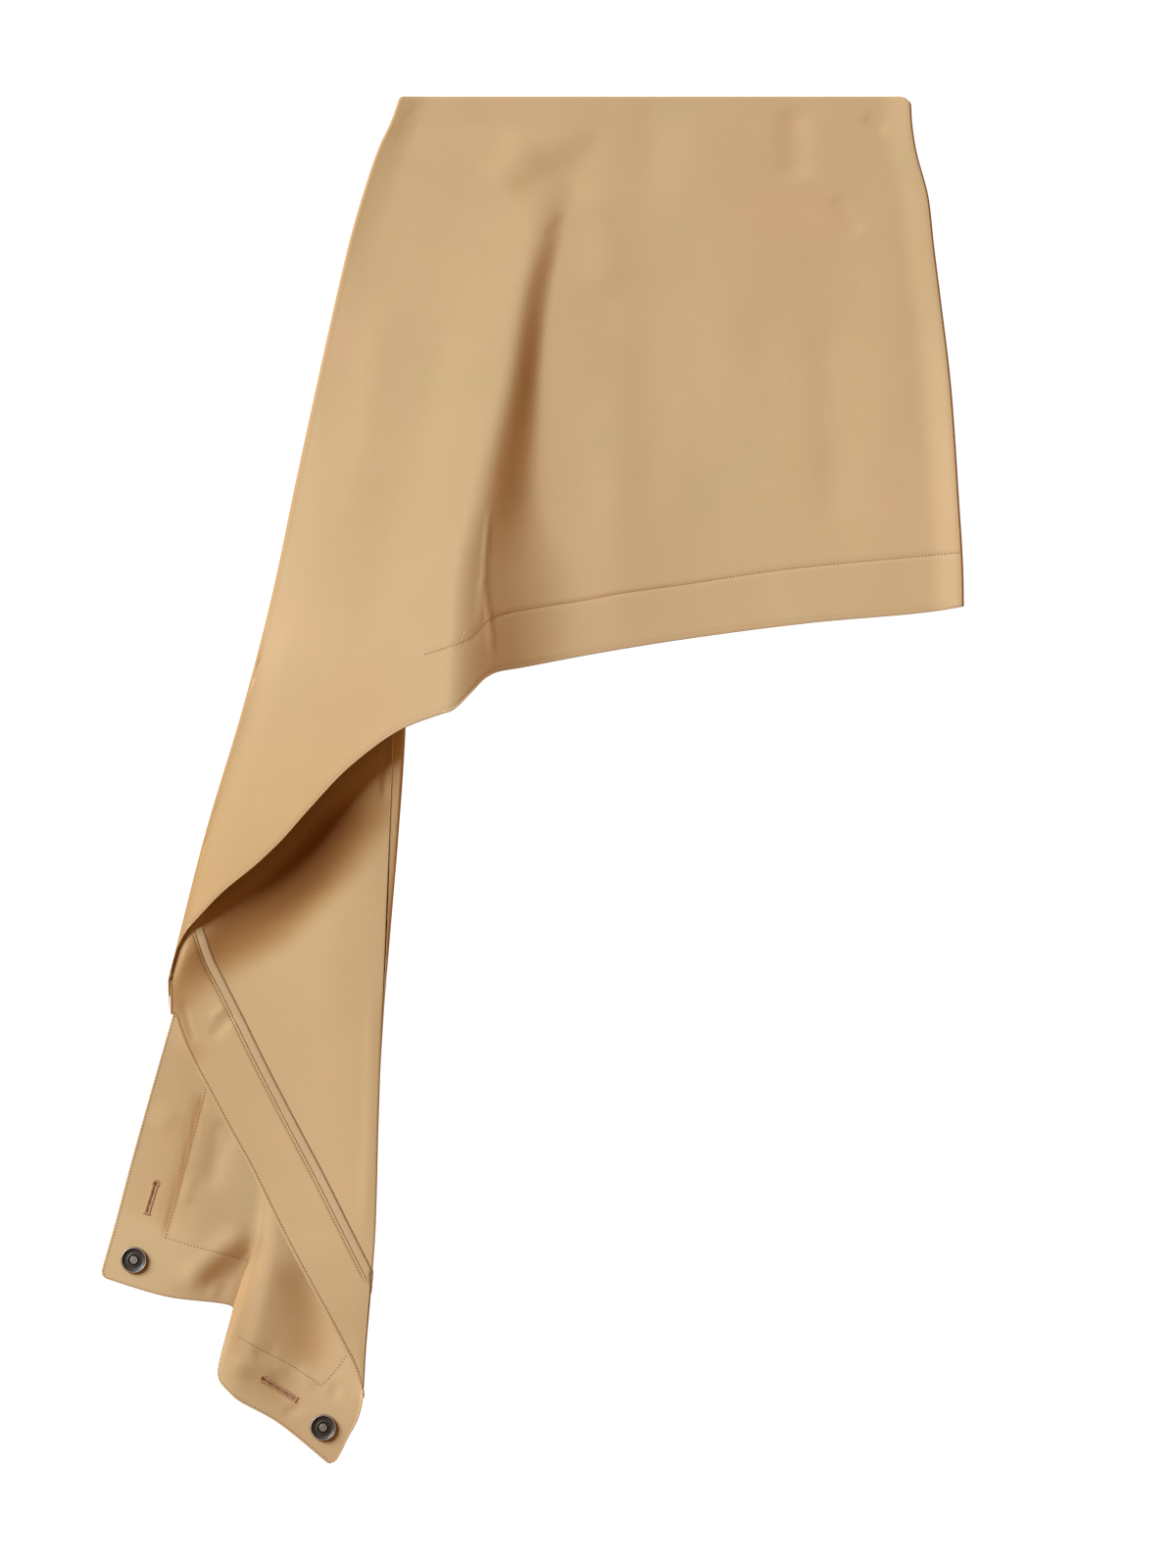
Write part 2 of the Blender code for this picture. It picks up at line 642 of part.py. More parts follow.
def tape_grid():
    inner_down = band_line("inner_down")
    tape_down = band_line("tape_down")
    stand = HALF + GAP + BINDING / 2
    rows = []
    for i in range(ROWS_TAPE):
        station = (TAPE_STATIONS - 1) * i / (ROWS_TAPE - 1)
        low = inner_down(station) - GAP
        high = low - TAPE_SLANT
        near = TAPE_INNER(low) + 2 * GAP
        rows.append([
            on_upper(mix(near, near + TAPE_WIDTH, j / TAPE_COLUMNS),
                     mix(low, high, j / TAPE_COLUMNS), stand)
            for j in range(TAPE_COLUMNS + 1)
        ])
    return rows


def material(name, colour, roughness, metallic=0.0):
    finish = bpy.data.materials.new(name)
    finish.use_nodes = True
    shader = finish.node_tree.nodes["Principled BSDF"]
    shader.inputs["Base Color"].default_value = (*colour, 1.0)
    shader.inputs["Roughness"].default_value = roughness
    shader.inputs["Metallic"].default_value = metallic
    finish.diffuse_color = (*colour, 1.0)
    return finish


def world_point(x, down, z):
    """Scene position in metres of a point of the tables."""
    return Vector((x * MM, LENGTH / 2 - down * MM, z * MM))


def cloth(name, grid, wall, finish, collection):
    """Make a panel: an open sheet through the grid, thickened evenly to both sides."""
    columns = len(grid[0])
    points = [world_point(*point) for row in grid for point in row]
    faces = [
        (r * columns + c, (r + 1) * columns + c, (r + 1) * columns + c + 1, r * columns + c + 1)
        for r in range(len(grid) - 1) for c in range(columns - 1)
    ]
    mesh = bpy.data.meshes.new(name)
    mesh.from_pydata(points, [], faces)
    mesh.shade_smooth()
    mesh.materials.append(finish)
    panel = bpy.data.objects.new(name, mesh)
    collection.objects.link(panel)
    thick = panel.modifiers.new("Wall", "SOLIDIFY")
    thick.thickness = wall
    thick.offset = 0.0
    return panel


def turned(name, profile, steps, finish, collection):
    """Make a turned piece from a profile of radius and height, in millimetres."""
    mesh = bpy.data.meshes.new(name)
    points = [(radius * MM, 0.0, height * MM) for radius, height in profile]
    closed = profile[0][0] > 0.0
    edges = [(i, i + 1) for i in range(len(points) - 1)]
    if closed:
        edges.append((len(points) - 1, 0))
    mesh.from_pydata(points, edges, [])
    mesh.materials.append(finish)
    piece = bpy.data.objects.new(name, mesh)
    collection.objects.link(piece)
    screw = piece.modifiers.new("Turn", "SCREW")
    screw.steps = steps
    screw.render_steps = steps
    screw.use_merge_vertices = True
    screw.merge_threshold = 0.00001
    screw.use_smooth_shade = True
    return piece


def on_under(x, down):
    """Point and normal of the tail's under layer nearest to a place, seen from above."""
    best = None
    for i in range(61):
        for j in range(61):
            place, station = 6.0 * i / 60, 0.8 + 0.2 * j / 60
            point = under_point(place, station)
            distance = (point[0] - x) ** 2 + (point[1] - down) ** 2
            if best is None or distance < best[0]:
                best = (distance, place, station)
    _, place, station = best
    centre = world_point(*under_point(place, station))
    across = world_point(*under_point(place + 0.15, station)) - centre
    along = world_point(*under_point(place, station - 0.01)) - centre
    return centre, across.cross(along).normalized()


def snap(place, gunmetal, steel, collection):
    """A ring snap: a dished rim and the post that stands in it."""
    radius = SNAP_RADIUS / MM
    height = SNAP_HEIGHT / MM
    post = POST_RADIUS / MM
    hole = post + GAP
    rim_profile = (
        (hole, 1.2), (hole + 0.5, 1.5), (hole + 1.1, 1.2), (hole + 2.0, 0.9),
        (radius - 1.6, 1.5), (radius - 1.0, height - 0.1), (radius - 0.5, height),
        (radius, height - 0.5), (radius, 0.6), (radius - 0.5, 0.0), (hole, 0.0),
    )
    top = POST_HEIGHT / MM
    post_profile = (
        (0.0, top - 0.6), (post * 0.45, top - 0.5), (post * 0.6, top - 0.05),
        (post * 0.75, top), (post, top - 0.35), (post, 0.0), (0.0, 0.0),
    )
    centre, normal = on_under(place.x, place.down)
    target = world_point(place.x, place.down, 0.0)
    target.z = centre.z
    stand = normal * (HALF + SNAP_STANDOFF) * MM
    turn = Vector((0.0, 0.0, 1.0)).rotation_difference(normal).to_matrix().to_4x4()
    rim = turned(place.name + "_rim", rim_profile, 28, gunmetal, collection)
    button = turned(place.name + "_post", post_profile, 18, steel, collection)
    for piece in (rim, button):
        piece.matrix_world = Matrix.Translation(target + stand) @ turn


def clear_scene():
    for thing in list(bpy.data.objects):
        bpy.data.objects.remove(thing, do_unlink=True)


def build():
    clear_scene()
    collection = bpy.data.collections.new("Asymmetric mini skirt")
    bpy.context.scene.collection.children.link(collection)
    camel = material("camel gabardine", CAMEL, 0.78)
    wrong_side = material("camel wrong side", CAMEL_WRONG_SIDE, 0.82)
    band = material("camel band", CAMEL_BAND, 0.78)
    tape = material("binding tape", TAPE, 0.45)
    gunmetal = material("gunmetal", GUNMETAL, 0.35, 1.0)
    steel = material("dark steel", STEEL, 0.40, 1.0)
    cloth("front_panel", front_grid(), CLOTH_WALL, camel, collection)
    cloth("back_panel", back_grid(), CLOTH_WALL, camel, collection)
    cloth("tail_upper", upper_grid(), CLOTH_WALL, wrong_side, collection)
    cloth("tail_under", under_grid(), CLOTH_WALL, camel, collection)
    cloth("hem_facing", facing_grid(), FACING_WALL, band, collection)
    cloth("hem_binding", tape_grid(), BINDING_WALL, tape, collection)
    for place in SNAPS:
        snap(place, gunmetal, steel, collection)


build()
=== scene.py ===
"""The looks of the asymmetric mini skirt: camel cotton laid flat, its tail turned over.

The tables are in millimetres: x runs across the skirt, "down" is the distance below the
waist edge and "height" that of the middle of the cloth above the surface it lies on. They
become scene coordinates in metres in one place, the function to_scene.
"""
import logging
from dataclasses import dataclass, field
from enum import Enum
from typing import Any, Callable, NamedTuple, Sequence

import bpy
import numpy as np
from mathutils import Matrix, Vector, noise
from mathutils.bvhtree import BVHTree


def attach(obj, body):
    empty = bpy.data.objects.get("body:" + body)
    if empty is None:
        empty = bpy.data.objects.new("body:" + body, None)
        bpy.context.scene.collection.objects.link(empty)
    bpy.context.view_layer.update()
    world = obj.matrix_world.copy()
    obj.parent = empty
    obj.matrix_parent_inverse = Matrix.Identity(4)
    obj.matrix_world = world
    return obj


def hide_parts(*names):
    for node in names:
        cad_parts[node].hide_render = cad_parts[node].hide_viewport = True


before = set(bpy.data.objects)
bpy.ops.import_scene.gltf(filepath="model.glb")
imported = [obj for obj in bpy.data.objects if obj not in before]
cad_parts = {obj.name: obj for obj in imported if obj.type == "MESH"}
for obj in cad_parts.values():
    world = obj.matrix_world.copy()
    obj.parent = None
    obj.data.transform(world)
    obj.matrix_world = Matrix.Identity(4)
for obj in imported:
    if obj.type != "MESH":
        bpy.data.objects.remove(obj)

Array = np.ndarray
Material = bpy.types.Material
Object = bpy.types.Object
Colour = tuple[float, float, float]
Place = tuple[float, float]              # x and down, as the tables have them
Columns = tuple[tuple[str, int], ...]    # name and count of each part of a panel
Laid = tuple[list[Vector], list[Vector]]   # points on a panel in metres, and its normals

MM = 0.001
LENGTH = 1005.5           # waist edge to the tail's lower corner
CLOTH = 0.7               # thickness of the cloth
HALF = CLOTH / 2
HEM_TURN = 0.7            # how much a turned-up hem adds on the inside
HEM_WIDTH = 40.0
SEWN_LIFT = 0.02          # how far a line of stitches stands off its groove
BODY = "root"
TO_LIGHT = (-0.84, 0.54, 0.0)   # level direction to the soft light

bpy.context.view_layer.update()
log = logging.getLogger("skirt")


# ---------------------------------------------------------------- curves and grids

def smooth(knots: Any, values: Any, at: Any) -> Array:
    """Read a smooth curve that never overshoots its points.

    Args:
        knots: rising positions, one list for all places or a column for each place.
        values: what the curve is worth there, in the same shape.
        at: the places to read.

    Returns:
        The curve's values, in the shape of at.
    """
    at = np.asarray(at, dtype=float)
    flat = at.reshape(-1)
    x, y = (np.broadcast_to(np.asarray(rows, dtype=float).reshape(len(rows), -1),
                            (len(rows), flat.size)) for rows in (knots, values))
    step = np.diff(x, axis=0)
    slope = np.diff(y, axis=0) / step
    same = slope[:-1] * slope[1:] > 0
    before = 2 * step[1:] + step[:-1]
    after = step[1:] + 2 * step[:-1]
    first = np.where(same, slope[:-1], 1.0)
    second = np.where(same, slope[1:], 1.0)
    inner = np.where(same, (before + after) / (before / first + after / second), 0.0)
    tangent = np.concatenate((slope[:1], inner, slope[-1:]))
    index = np.sum(flat >= x[1:-1], axis=0)[None]

    def pick(rows: Array, shift: int = 0) -> Array:
        """Read rows at the knot before each place, or at the one after it."""
        return np.take_along_axis(rows, index + shift, axis=0)[0]

    width = pick(step)
    u = (flat - pick(x)) / width
    rise = pick(y, 1) - pick(y)
    start = pick(tangent) * width
    end = pick(tangent, 1) * width
    inside = pick(y) + u * start + u ** 2 * (3 * rise - 2 * start - end) \
        + u ** 3 * (start + end - 2 * rise)
    result = np.where(u < 0, pick(y) + u * start, np.where(u > 1, pick(y, 1) + (u - 1) * end, inside))
    return result.reshape(at.shape)


class Table:
    """A short table with named columns, read as smooth curves over its first column."""

    def __init__(self, columns: str, *rows: Sequence[float]) -> None:
        """Keep the rows by column."""
        names = columns.split()
        self.columns = dict(zip(names, np.array(rows, dtype=float).T))
        self.first = names[0]

    def __call__(self, column: str, at: Any, over: str = "") -> Array:
        """Read a column at places on the first column, or on another rising one."""
        return smooth(self.columns[over or self.first], self.columns[column], at)

    def ends(self, column: str) -> tuple[float, float]:
        """First and last value of a column."""
        return self.columns[column][0], self.columns[column][-1]


def ease(u: Any) -> Array:
    """Blend from 0 to 1, level at both ends."""
    u = np.clip(u, 0.0, 1.0)
    return u * u * (3 - 2 * u)


def ramp(value: Any, start: float, end: float) -> Array:
    """Blend from 0 to 1 as a value goes from start to end, which may be lower."""
    return ease((value - start) / (end - start))


def mix(a: Any, b: Any, u: Any) -> Any:
    """Go from a to b as u goes from 0 to 1."""
    return a + (b - a) * u


def to_scene(x: Any, down: Any, height: Any) -> Array:
    """Turn places of the tables into scene coordinates in metres, on the last axis."""
    x, down, height = np.broadcast_arrays(x, down, height)
    return np.stack((x * MM, (LENGTH / 2 - down) * MM, height * MM), axis=-1)


def meet(reach: Callable[[Array], Array], edge: Callable[[Array], Array],
         top: float, bottom: float, count: int) -> Array:
    """Find the level at which each column reaches an edge.

    Args:
        reach: gives each column's x at the given levels.
        edge: gives the edge's level at each x.
        top: level above the edge.
        bottom: level below the edge.
        count: number of columns.

    Returns:
        One level for each column.
    """
    top = np.full(count, float(top))
    bottom = np.full(count, float(bottom))
    halvings = 36
    for _ in range(halvings):
        middle = (top + bottom) / 2
        above = middle < edge(reach(middle))
        top = np.where(above, middle, top)
        bottom = np.where(above, bottom, middle)
    return top


def unit(vectors: Array) -> Array:
    """Scale vectors on the last axis to length 1."""
    return vectors / np.maximum(np.linalg.norm(vectors, axis=-1, keepdims=True), 1e-12)


def shares(groups: Columns) -> tuple[Array, Array]:
    """Lay out columns across a panel, evenly spaced in each part.

    Args:
        groups: the panel's parts, left to right. The last one has its far end too.

    Returns:
        The part's name and the share of it for each column.
    """
    names = np.repeat([name for name, _ in groups], [count for _, count in groups])
    last = len(groups) - 1
    places = [np.arange(count) / (count - (i == last)) for i, (_, count) in enumerate(groups)]
    return names, np.concatenate(places)


def along(line: Sequence[Place], count: int) -> Array:
    """Lay out evenly spaced places on the smooth line through some places.

    Args:
        line: the places that the line goes through.
        count: how many places to lay out.

    Returns:
        x and down of each place.
    """
    points = np.array(line, dtype=float)
    run = np.concatenate(([0.0], np.cumsum(np.linalg.norm(np.diff(points, axis=0), axis=1))))
    at = np.linspace(0.0, run[-1], count)
    if len(points) == 2:
        return np.stack([np.interp(at, run, values) for values in points.T], axis=1)
    return np.stack([smooth(run, values, at) for values in points.T], axis=1)


class Crease(NamedTuple):
    """A soft trough or ridge along a line of places, fading out at both ends."""

    line: tuple[Place, ...]
    width: float
    height: float
    fade: float = 0.5

    def at(self, x: Array, down: Array) -> Array:
        """Work out the height of the crease.

        Args:
            x: places across.
            down: places along.

        Returns:
            Heights in the places' shape.
        """
        samples = 28
        places = along(self.line, samples)
        low = places.min(axis=0) - 3 * self.width
        high = places.max(axis=0) + 3 * self.width
        near = (x > low[0]) & (x < high[0]) & (down > low[1]) & (down < high[1])
        across, level = x[near], down[near]
        nearest = np.full(across.shape, np.inf)
        share = np.zeros(across.shape)
        for i, (start, run) in enumerate(zip(places[:-1], np.diff(places, axis=0))):
            part = ((across - start[0]) * run[0] + (level - start[1]) * run[1]) / (run @ run)
            part = np.clip(part, 0.0, 1.0)
            distance = (across - start[0] - part * run[0]) ** 2 + (level - start[1] - part * run[1]) ** 2
            closer = distance < nearest
            nearest = np.where(closer, distance, nearest)
            share = np.where(closer, (i + part) / (samples - 1), share)
        taper = ease(np.minimum(share, 1 - share) / (0.5 * self.fade)) if self.fade else 1.0
        height = np.zeros(np.shape(x))
        height[near] = self.height * np.exp(-nearest / self.width ** 2) * taper
        return height


class Oval(NamedTuple):
    """A long soft swell, or a hollow where its height is negative."""

    x: float
    down: float
    half_width: float
    half_length: float
    height: float

    def at(self, x: Array, down: Array) -> Array:
        """Height of the swell at some places."""
        across, level = (x - self.x) / self.half_width, (down - self.down) / self.half_length
        return self.height * np.exp(-across ** 2 - level ** 2)


class Waves(NamedTuple):
    """The slight waviness of cloth that was laid by hand, in waves of one size."""

    size: float
    height: float
    seed: float           # makes a panel's waves its own

    def at(self, x: Array, down: Array) -> Array:
        """Height of the waves at some places."""
        flat = zip(np.ravel(x) / self.size, np.ravel(down) / (1.6 * self.size))
        values = [noise.noise(Vector((a, b, self.seed))) for a, b in flat]
        return self.height * np.array(values).reshape(np.shape(x))


Forms = tuple[Crease | Oval | Waves, ...]


def relief(forms: Forms, x: Array, down: Array) -> Array:
    """Add up the heights of some forms at places given by x and down."""
    return sum(form.at(x, down) for form in forms)


def beside(kinds: Sequence[Array], arcs: Sequence[tuple[Array, Array]], x: Array,
           height: Array) -> tuple[Array, Array]:
    """Put the columns of the side folds on their arcs.

    Args:
        kinds: which columns belong to each arc.
        arcs: x and height on each arc.
        x: x of the other columns.
        height: their height.

    Returns:
        x and height of all the columns.
    """
    return tuple(np.select(kinds, values[:-1], values[-1]) for values in zip(*arcs, (x, height)))


# ---------------------------------------------------------------- materials

def operator(operation: str, turned: bool = False) -> Callable[["Wire", Any], "Wire"]:
    """Make one of the arithmetic methods of Wire.

    Args:
        operation: what its Math node does.
        turned: whether the other value comes first.

    Returns:
        The method.
    """
    def method(self: "Wire", other: Any) -> "Wire":
        """Work out the operation on the two values."""
        return self.math(operation, *((other, self) if turned else (self, other)))

    return method


class Wire:
    """A value in a node tree: a socket that takes part in plain arithmetic."""

    def __init__(self, book: "NodeBook", socket: bpy.types.NodeSocket) -> None:
        """Keep the socket and the book that adds nodes for it."""
        self.book = book
        self.socket = socket

    def math(self, operation: str, first: Any, second: Any = 0.0) -> "Wire":
        """Add one Math node."""
        return self.book.wire("ShaderNodeMath", {0: first, 1: second}, {"operation": operation})

    __add__, __radd__ = operator("ADD"), operator("ADD", True)
    __sub__, __rsub__ = operator("SUBTRACT"), operator("SUBTRACT", True)
    __mul__, __rmul__ = operator("MULTIPLY"), operator("MULTIPLY", True)
    __rpow__ = operator("POWER", True)

    def wave(self) -> "Wire":
        """Return the sine of the value."""
        return self.math("SINE", self)

    def clamped(self) -> "Wire":
        """Keep the value between 0 and 1."""
        return self.math("MAXIMUM", self.math("MINIMUM", self, 1.0), 0.0)


class NodeBook:
    """Adds nodes to one material or Geometry Nodes tree."""

    def __init__(self, tree: bpy.types.NodeTree) -> None:
        """Keep the tree."""
        self.tree = tree

    def fill(self, node: bpy.types.Node, inputs: dict[Any, Any]) -> bpy.types.Node:
        """Fill a node's sockets.

        Args:
            node: the node.
            inputs: values, sockets or wires for its sockets, by name or number.

        Returns:
            The same node.
        """
        for key, value in inputs.items():
            value = value.socket if isinstance(value, Wire) else value
            if isinstance(value, bpy.types.NodeSocket):
                self.tree.links.new(value, node.inputs[key])
            else:
                node.inputs[key].default_value = value
        return node

    def node(self, kind: str, inputs: dict[Any, Any] | None = None,
             settings: dict[str, Any] | None = None) -> bpy.types.Node:
        """Add a node.

        Args:
            kind: the node's type.
            inputs: what fills its sockets.
            settings: its properties, set before its sockets.

        Returns:
            The new node.
        """
        node = self.tree.nodes.new(kind)
        for name, value in (settings or {}).items():
            setattr(node, name, value)
        return self.fill(node, inputs or {})

    def wire(self, kind: str, inputs: dict[Any, Any] | None = None,
             settings: dict[str, Any] | None = None, output: Any = 0) -> Wire:
        """Add a node and return one of its outputs as a value."""
        return Wire(self, self.node(kind, inputs, settings).outputs[output])

    def blend(self, share: Any, first: Any, second: Any) -> Wire:
        """Mix two colours with a Mix node."""
        return self.wire("ShaderNodeMix", {0: share, 6: first, 7: second}, {"data_type": "RGBA"}, 2)

    def scaled(self, colour: Any, amount: Any) -> Wire:
        """Make a colour lighter or darker."""
        return self.wire("ShaderNodeVectorMath", {0: colour, "Scale": amount}, {"operation": "SCALE"})

    def tinted(self, colour: Any, tint: Any) -> Wire:
        """Multiply a colour by a tint."""
        return self.wire("ShaderNodeVectorMath", {0: colour, 1: tint}, {"operation": "MULTIPLY"})

    def grain(self, vector: Any, scale: float, detail: float = 2.0, rough: float = 0.5) -> Wire:
        """Return a Noise Texture's value on a vector."""
        inputs = {"Vector": vector, "Scale": scale, "Detail": detail, "Roughness": rough}
        return self.wire("ShaderNodeTexNoise", inputs, None, "Fac")

    def threads(self, vector: Any, counts: tuple[float, ...], detail: float, rough: float) -> Wire:
        """Return a noise that is drawn out along one direction of the cloth map."""
        drawn = self.wire("ShaderNodeMapping", {"Vector": vector, "Scale": counts})
        return self.grain(drawn, 1.0, detail, rough)

    def attribute(self, name: str) -> Wire:
        """Read a number that the panel's points carry."""
        return self.wire("ShaderNodeAttribute", None, {"attribute_name": name}, "Fac")

    def place(self) -> Wire:
        """Read the Object coordinates."""
        return self.wire("ShaderNodeTexCoord", None, None, "Object")

    def cloth_map(self) -> tuple[Wire, Wire, Wire]:
        """Read the panel's cloth map, and its two coordinates in metres."""
        cloth = self.wire("ShaderNodeUVMap", None, {"uv_map": "cloth"})
        outputs = self.node("ShaderNodeSeparateXYZ", {0: cloth}).outputs
        return cloth, Wire(self, outputs[0]), Wire(self, outputs[1])

    def bump(self, strength: float, distance: float, height: Any) -> Wire:
        """Turn a height into a normal."""
        return self.wire("ShaderNodeBump", {"Strength": strength, "Distance": distance, "Height": height})


class Finish:
    """A new material with the book for its nodes."""

    def __init__(self, name: str) -> None:
        """Make the material."""
        self.material = bpy.data.materials.new(name)
        self.material.use_nodes = True
        self.book = NodeBook(self.material.node_tree)

    def set(self, inputs: dict[str, Any]) -> Material:
        """Fill the shader's sockets and return the material."""
        self.book.fill(self.material.node_tree.nodes["Principled BSDF"], inputs)
        return self.material


def rgba(colour: Sequence[float]) -> tuple[float, float, float, float]:
    """Add an alpha of 1 to a colour."""
    return (*colour, 1.0)


class Side(Enum):
    """Which way a panel's twill slants."""

    RIGHT = 1.0
    WRONG = -1.0


@dataclass(frozen=True)
class Gabardine:
    """Matt cotton gabardine: a fine steep twill with slubs and soft changes of colour, and painted light
    and shade.
    """

    name: str
    colour: Colour
    warm: Colour
    side: Side = Side.RIGHT
    deep: Colour = (0.30, 0.140, 0.050)    # tint of painted shade: what painted shading of -1 leaves of the colour
    glow: Colour = (1.05, 0.92, 0.76)      # tint of painted warm bounce light on cloth that faces away from the light
    pale: Colour = (1.62, 1.70, 1.80)      # tint of painted light, at painted shading 1
    roughness: float = 0.80
    twill_pitch: float = 0.00062
    twill_slant: tuple[float, float] = (0.87, 0.5)
    relief: float = 0.55
    relief_height: float = 0.00006
    sheen: float = 0.12
    sheen_roughness: float = 0.45
    sheen_tint: Colour = (1.0, 0.93, 0.82)
    specular: float = 0.25

    def build(self) -> Material:
        """Make the material.

        Returns:
            A material that reads the panel's cloth map in metres, its painted light and shade, and its
            painted bounce light (glow).
        """
        finish = Finish(self.name)
        book = finish.book
        cloth, u, v = book.cloth_map()
        slant, steep = self.twill_slant
        ribs = ((u * (slant * self.side.value) + v * steep) * (2 * np.pi / self.twill_pitch)).wave()
        place = book.place()
        patches = book.grain(place, 7.5)
        clouds = book.grain(place, 26.0, 3.0, 0.6) - 0.5
        slubs = book.threads(cloth, (22.0, 900.0, 1.0), 3.0, 0.65) - 0.5
        threads = book.threads(cloth, (1100.0, 16.0, 1.0), 2.0, 0.6) - 0.5
        share = ((patches - 0.5) * 2.4 + 0.5 + clouds * 0.5).clamped()
        colour = book.blend(share, rgba(self.colour), rgba(self.warm))
        colour = book.scaled(colour, 1.0 + slubs * 0.06 + threads * 0.05 + clouds * 0.05)
        # painted shade (below 0) tints the colour towards deep, painted light (above 0) towards pale, and
        # glow adds painted warm bounce light
        painted_shading = book.attribute("painted_shading")
        deeper = (painted_shading * -1.0).clamped()
        deep = book.wire("ShaderNodeCombineXYZ", {i: part ** deeper for i, part in enumerate(self.deep)})
        colour = book.tinted(colour, deep)
        glow = book.attribute("glow")
        for amount, tint in ((glow.clamped(), self.glow), (painted_shading.clamped(), self.pale)):
            colour = book.blend(amount, colour, book.tinted(colour, tint))
        height = ribs * 0.25 + threads * 1.2 + slubs
        return finish.set({
            "Base Color": colour,
            "Roughness": self.roughness + clouds * 0.12 + slubs * 0.08,
            "Normal": book.bump(self.relief, self.relief_height, height),
            "Sheen Weight": self.sheen,
            "Sheen Roughness": self.sheen_roughness,
            "Sheen Tint": rgba(self.sheen_tint),
            "Specular IOR Level": self.specular,
        })


@dataclass(frozen=True)
class SatinTape:
    """Smooth binding tape with a soft gloss and fine crosswise ribs."""

    name: str = "binding tape"
    colour: Colour = (0.585, 0.390, 0.205)
    # colour of the painted shadow lines along the tape's edges
    seam: Colour = (0.30, 0.15, 0.068)
    roughness: float = 0.42
    rib_pitch: float = 0.0007
    relief: float = 0.3
    relief_height: float = 0.00005
    gloss: float = 0.1
    gloss_roughness: float = 0.4

    def build(self) -> Material:
        """Make the material, darker towards the seam colour where the painted shading is below 0: painted
        shadow lines along the tape's edges.
        """
        finish = Finish(self.name)
        book = finish.book
        _, _, v = book.cloth_map()
        ribs = (v * (2 * np.pi / self.rib_pitch)).wave()
        patches = book.grain(book.place(), 40.0)
        colour = book.scaled(self.colour, 0.94 + patches * 0.12)
        sunk = (book.attribute("painted_shading") * -1.0).clamped()
        return finish.set({
            "Base Color": book.blend(sunk, colour, rgba(self.seam)),
            "Roughness": self.roughness + patches * 0.1,
            "Normal": book.bump(self.relief, self.relief_height, ribs),
            "Coat Weight": self.gloss,
            "Coat Roughness": self.gloss_roughness,
        })


@dataclass(frozen=True)
class Grained:
    """One colour with a fine grain: twisted thread, worn plating, or painted shade in a dark gap."""

    name: str
    colour: Colour
    roughness: float
    grains: float             # grains in a metre
    contrast: float           # how much the grain changes the colour
    wear: float = 0.0         # how much it changes the roughness
    detail: float = 2.0
    rough: float = 0.5
    metallic: float = 0.0

    def build(self) -> Material:
        """Make the material."""
        finish = Finish(self.name)
        book = finish.book
        grain = book.grain(book.place(), self.grains, self.detail, self.rough)
        light = 1.0 - self.contrast / 2 + grain * self.contrast
        wear_and_painted_shade = self.roughness - self.wear / 2 + grain * self.wear if self.wear else self.roughness
        return finish.set({
            "Base Color": book.scaled(self.colour, light),
            "Roughness": wear_and_painted_shade,
            "Metallic": self.metallic,
        })


class Wardrobe:
    """All the finishes, made once."""

    def __init__(self) -> None:
        """Make every material."""
        def cotton(name: str, colour: Colour) -> Material:
            """Make a sewing thread."""
            return Grained(name, colour, 0.7, 2400.0, 0.4, 0.2).build()

        def shade(name: str, colour: Colour) -> Material:
            """Make painted shade: the plain dark finish that stands for the shadow in a narrow gap."""
            return Grained(name, colour, 0.9, 1500.0, 0.8).build()

        def plated(name: str, colour: Colour, roughness: float, metallic: float) -> Material:
            """Make dark plated metal with fine wear."""
            return Grained(name, colour, roughness, 900.0, 0.5, 0.12, 3.0, 0.6, metallic).build()

        self.right = Gabardine("camel right side", (0.604, 0.420, 0.214), (0.640, 0.414, 0.220)).build()
        self.wrong = Gabardine("camel wrong side", (0.606, 0.414, 0.206), (0.636, 0.410, 0.210),
                               Side.WRONG).build()
        self.tape = SatinTape().build()
        self.thread = cotton("camel thread", (0.25, 0.135, 0.060))
        self.cord = cotton("buttonhole thread", (0.54, 0.295, 0.145))
        # painted shade: the dark inside of the buttonholes' slits
        self.slit = shade("slit shade", (0.16, 0.055, 0.022))
        # painted shade: the dark ring round the foot of each snap's post
        self.gap = shade("snap gap", (0.012, 0.010, 0.009))
        self.rim = plated("gunmetal rim", (0.56, 0.46, 0.39), 0.42, 0.6)
        self.dish = plated("gunmetal dish", (0.060, 0.050, 0.042), 0.45, 0.35)
        self.post = plated("gunmetal post", (0.26, 0.22, 0.185), 0.48, 0.4)


# ---------------------------------------------------------------- meshes

@dataclass(frozen=True)
class Edges:
    """How a sheet's four sides end: True for a rounded free edge, False for a seam."""

    top: bool = True
    bottom: bool = True
    left: bool = False
    right: bool = False


ALL_ROUND = Edges(left=True, right=True)


def hang(name: str, data: Any) -> Object:
    """Put new object data into the scene, at the origin."""
    thing = bpy.data.objects.new(name, data)
    bpy.context.scene.collection.objects.link(thing)
    return thing


def make_mesh(name: str, points: Any, faces: Any, kinds: Any, sharp: float) -> bpy.types.Mesh:
    """Make a smooth mesh.

    Args:
        name: its name.
        points: its points in metres.
        faces: its faces by point number.
        kinds: number of each face's material.
        sharp: the angle in degrees from which an edge stays sharp.

    Returns:
        The mesh.
    """
    mesh = bpy.data.meshes.new(name)
    mesh.from_pydata(points, [], faces)
    mesh.shade_smooth()
    mesh.set_sharp_from_angle(angle=np.radians(sharp))
    mesh.polygons.foreach_set("material_index", kinds)
    return mesh


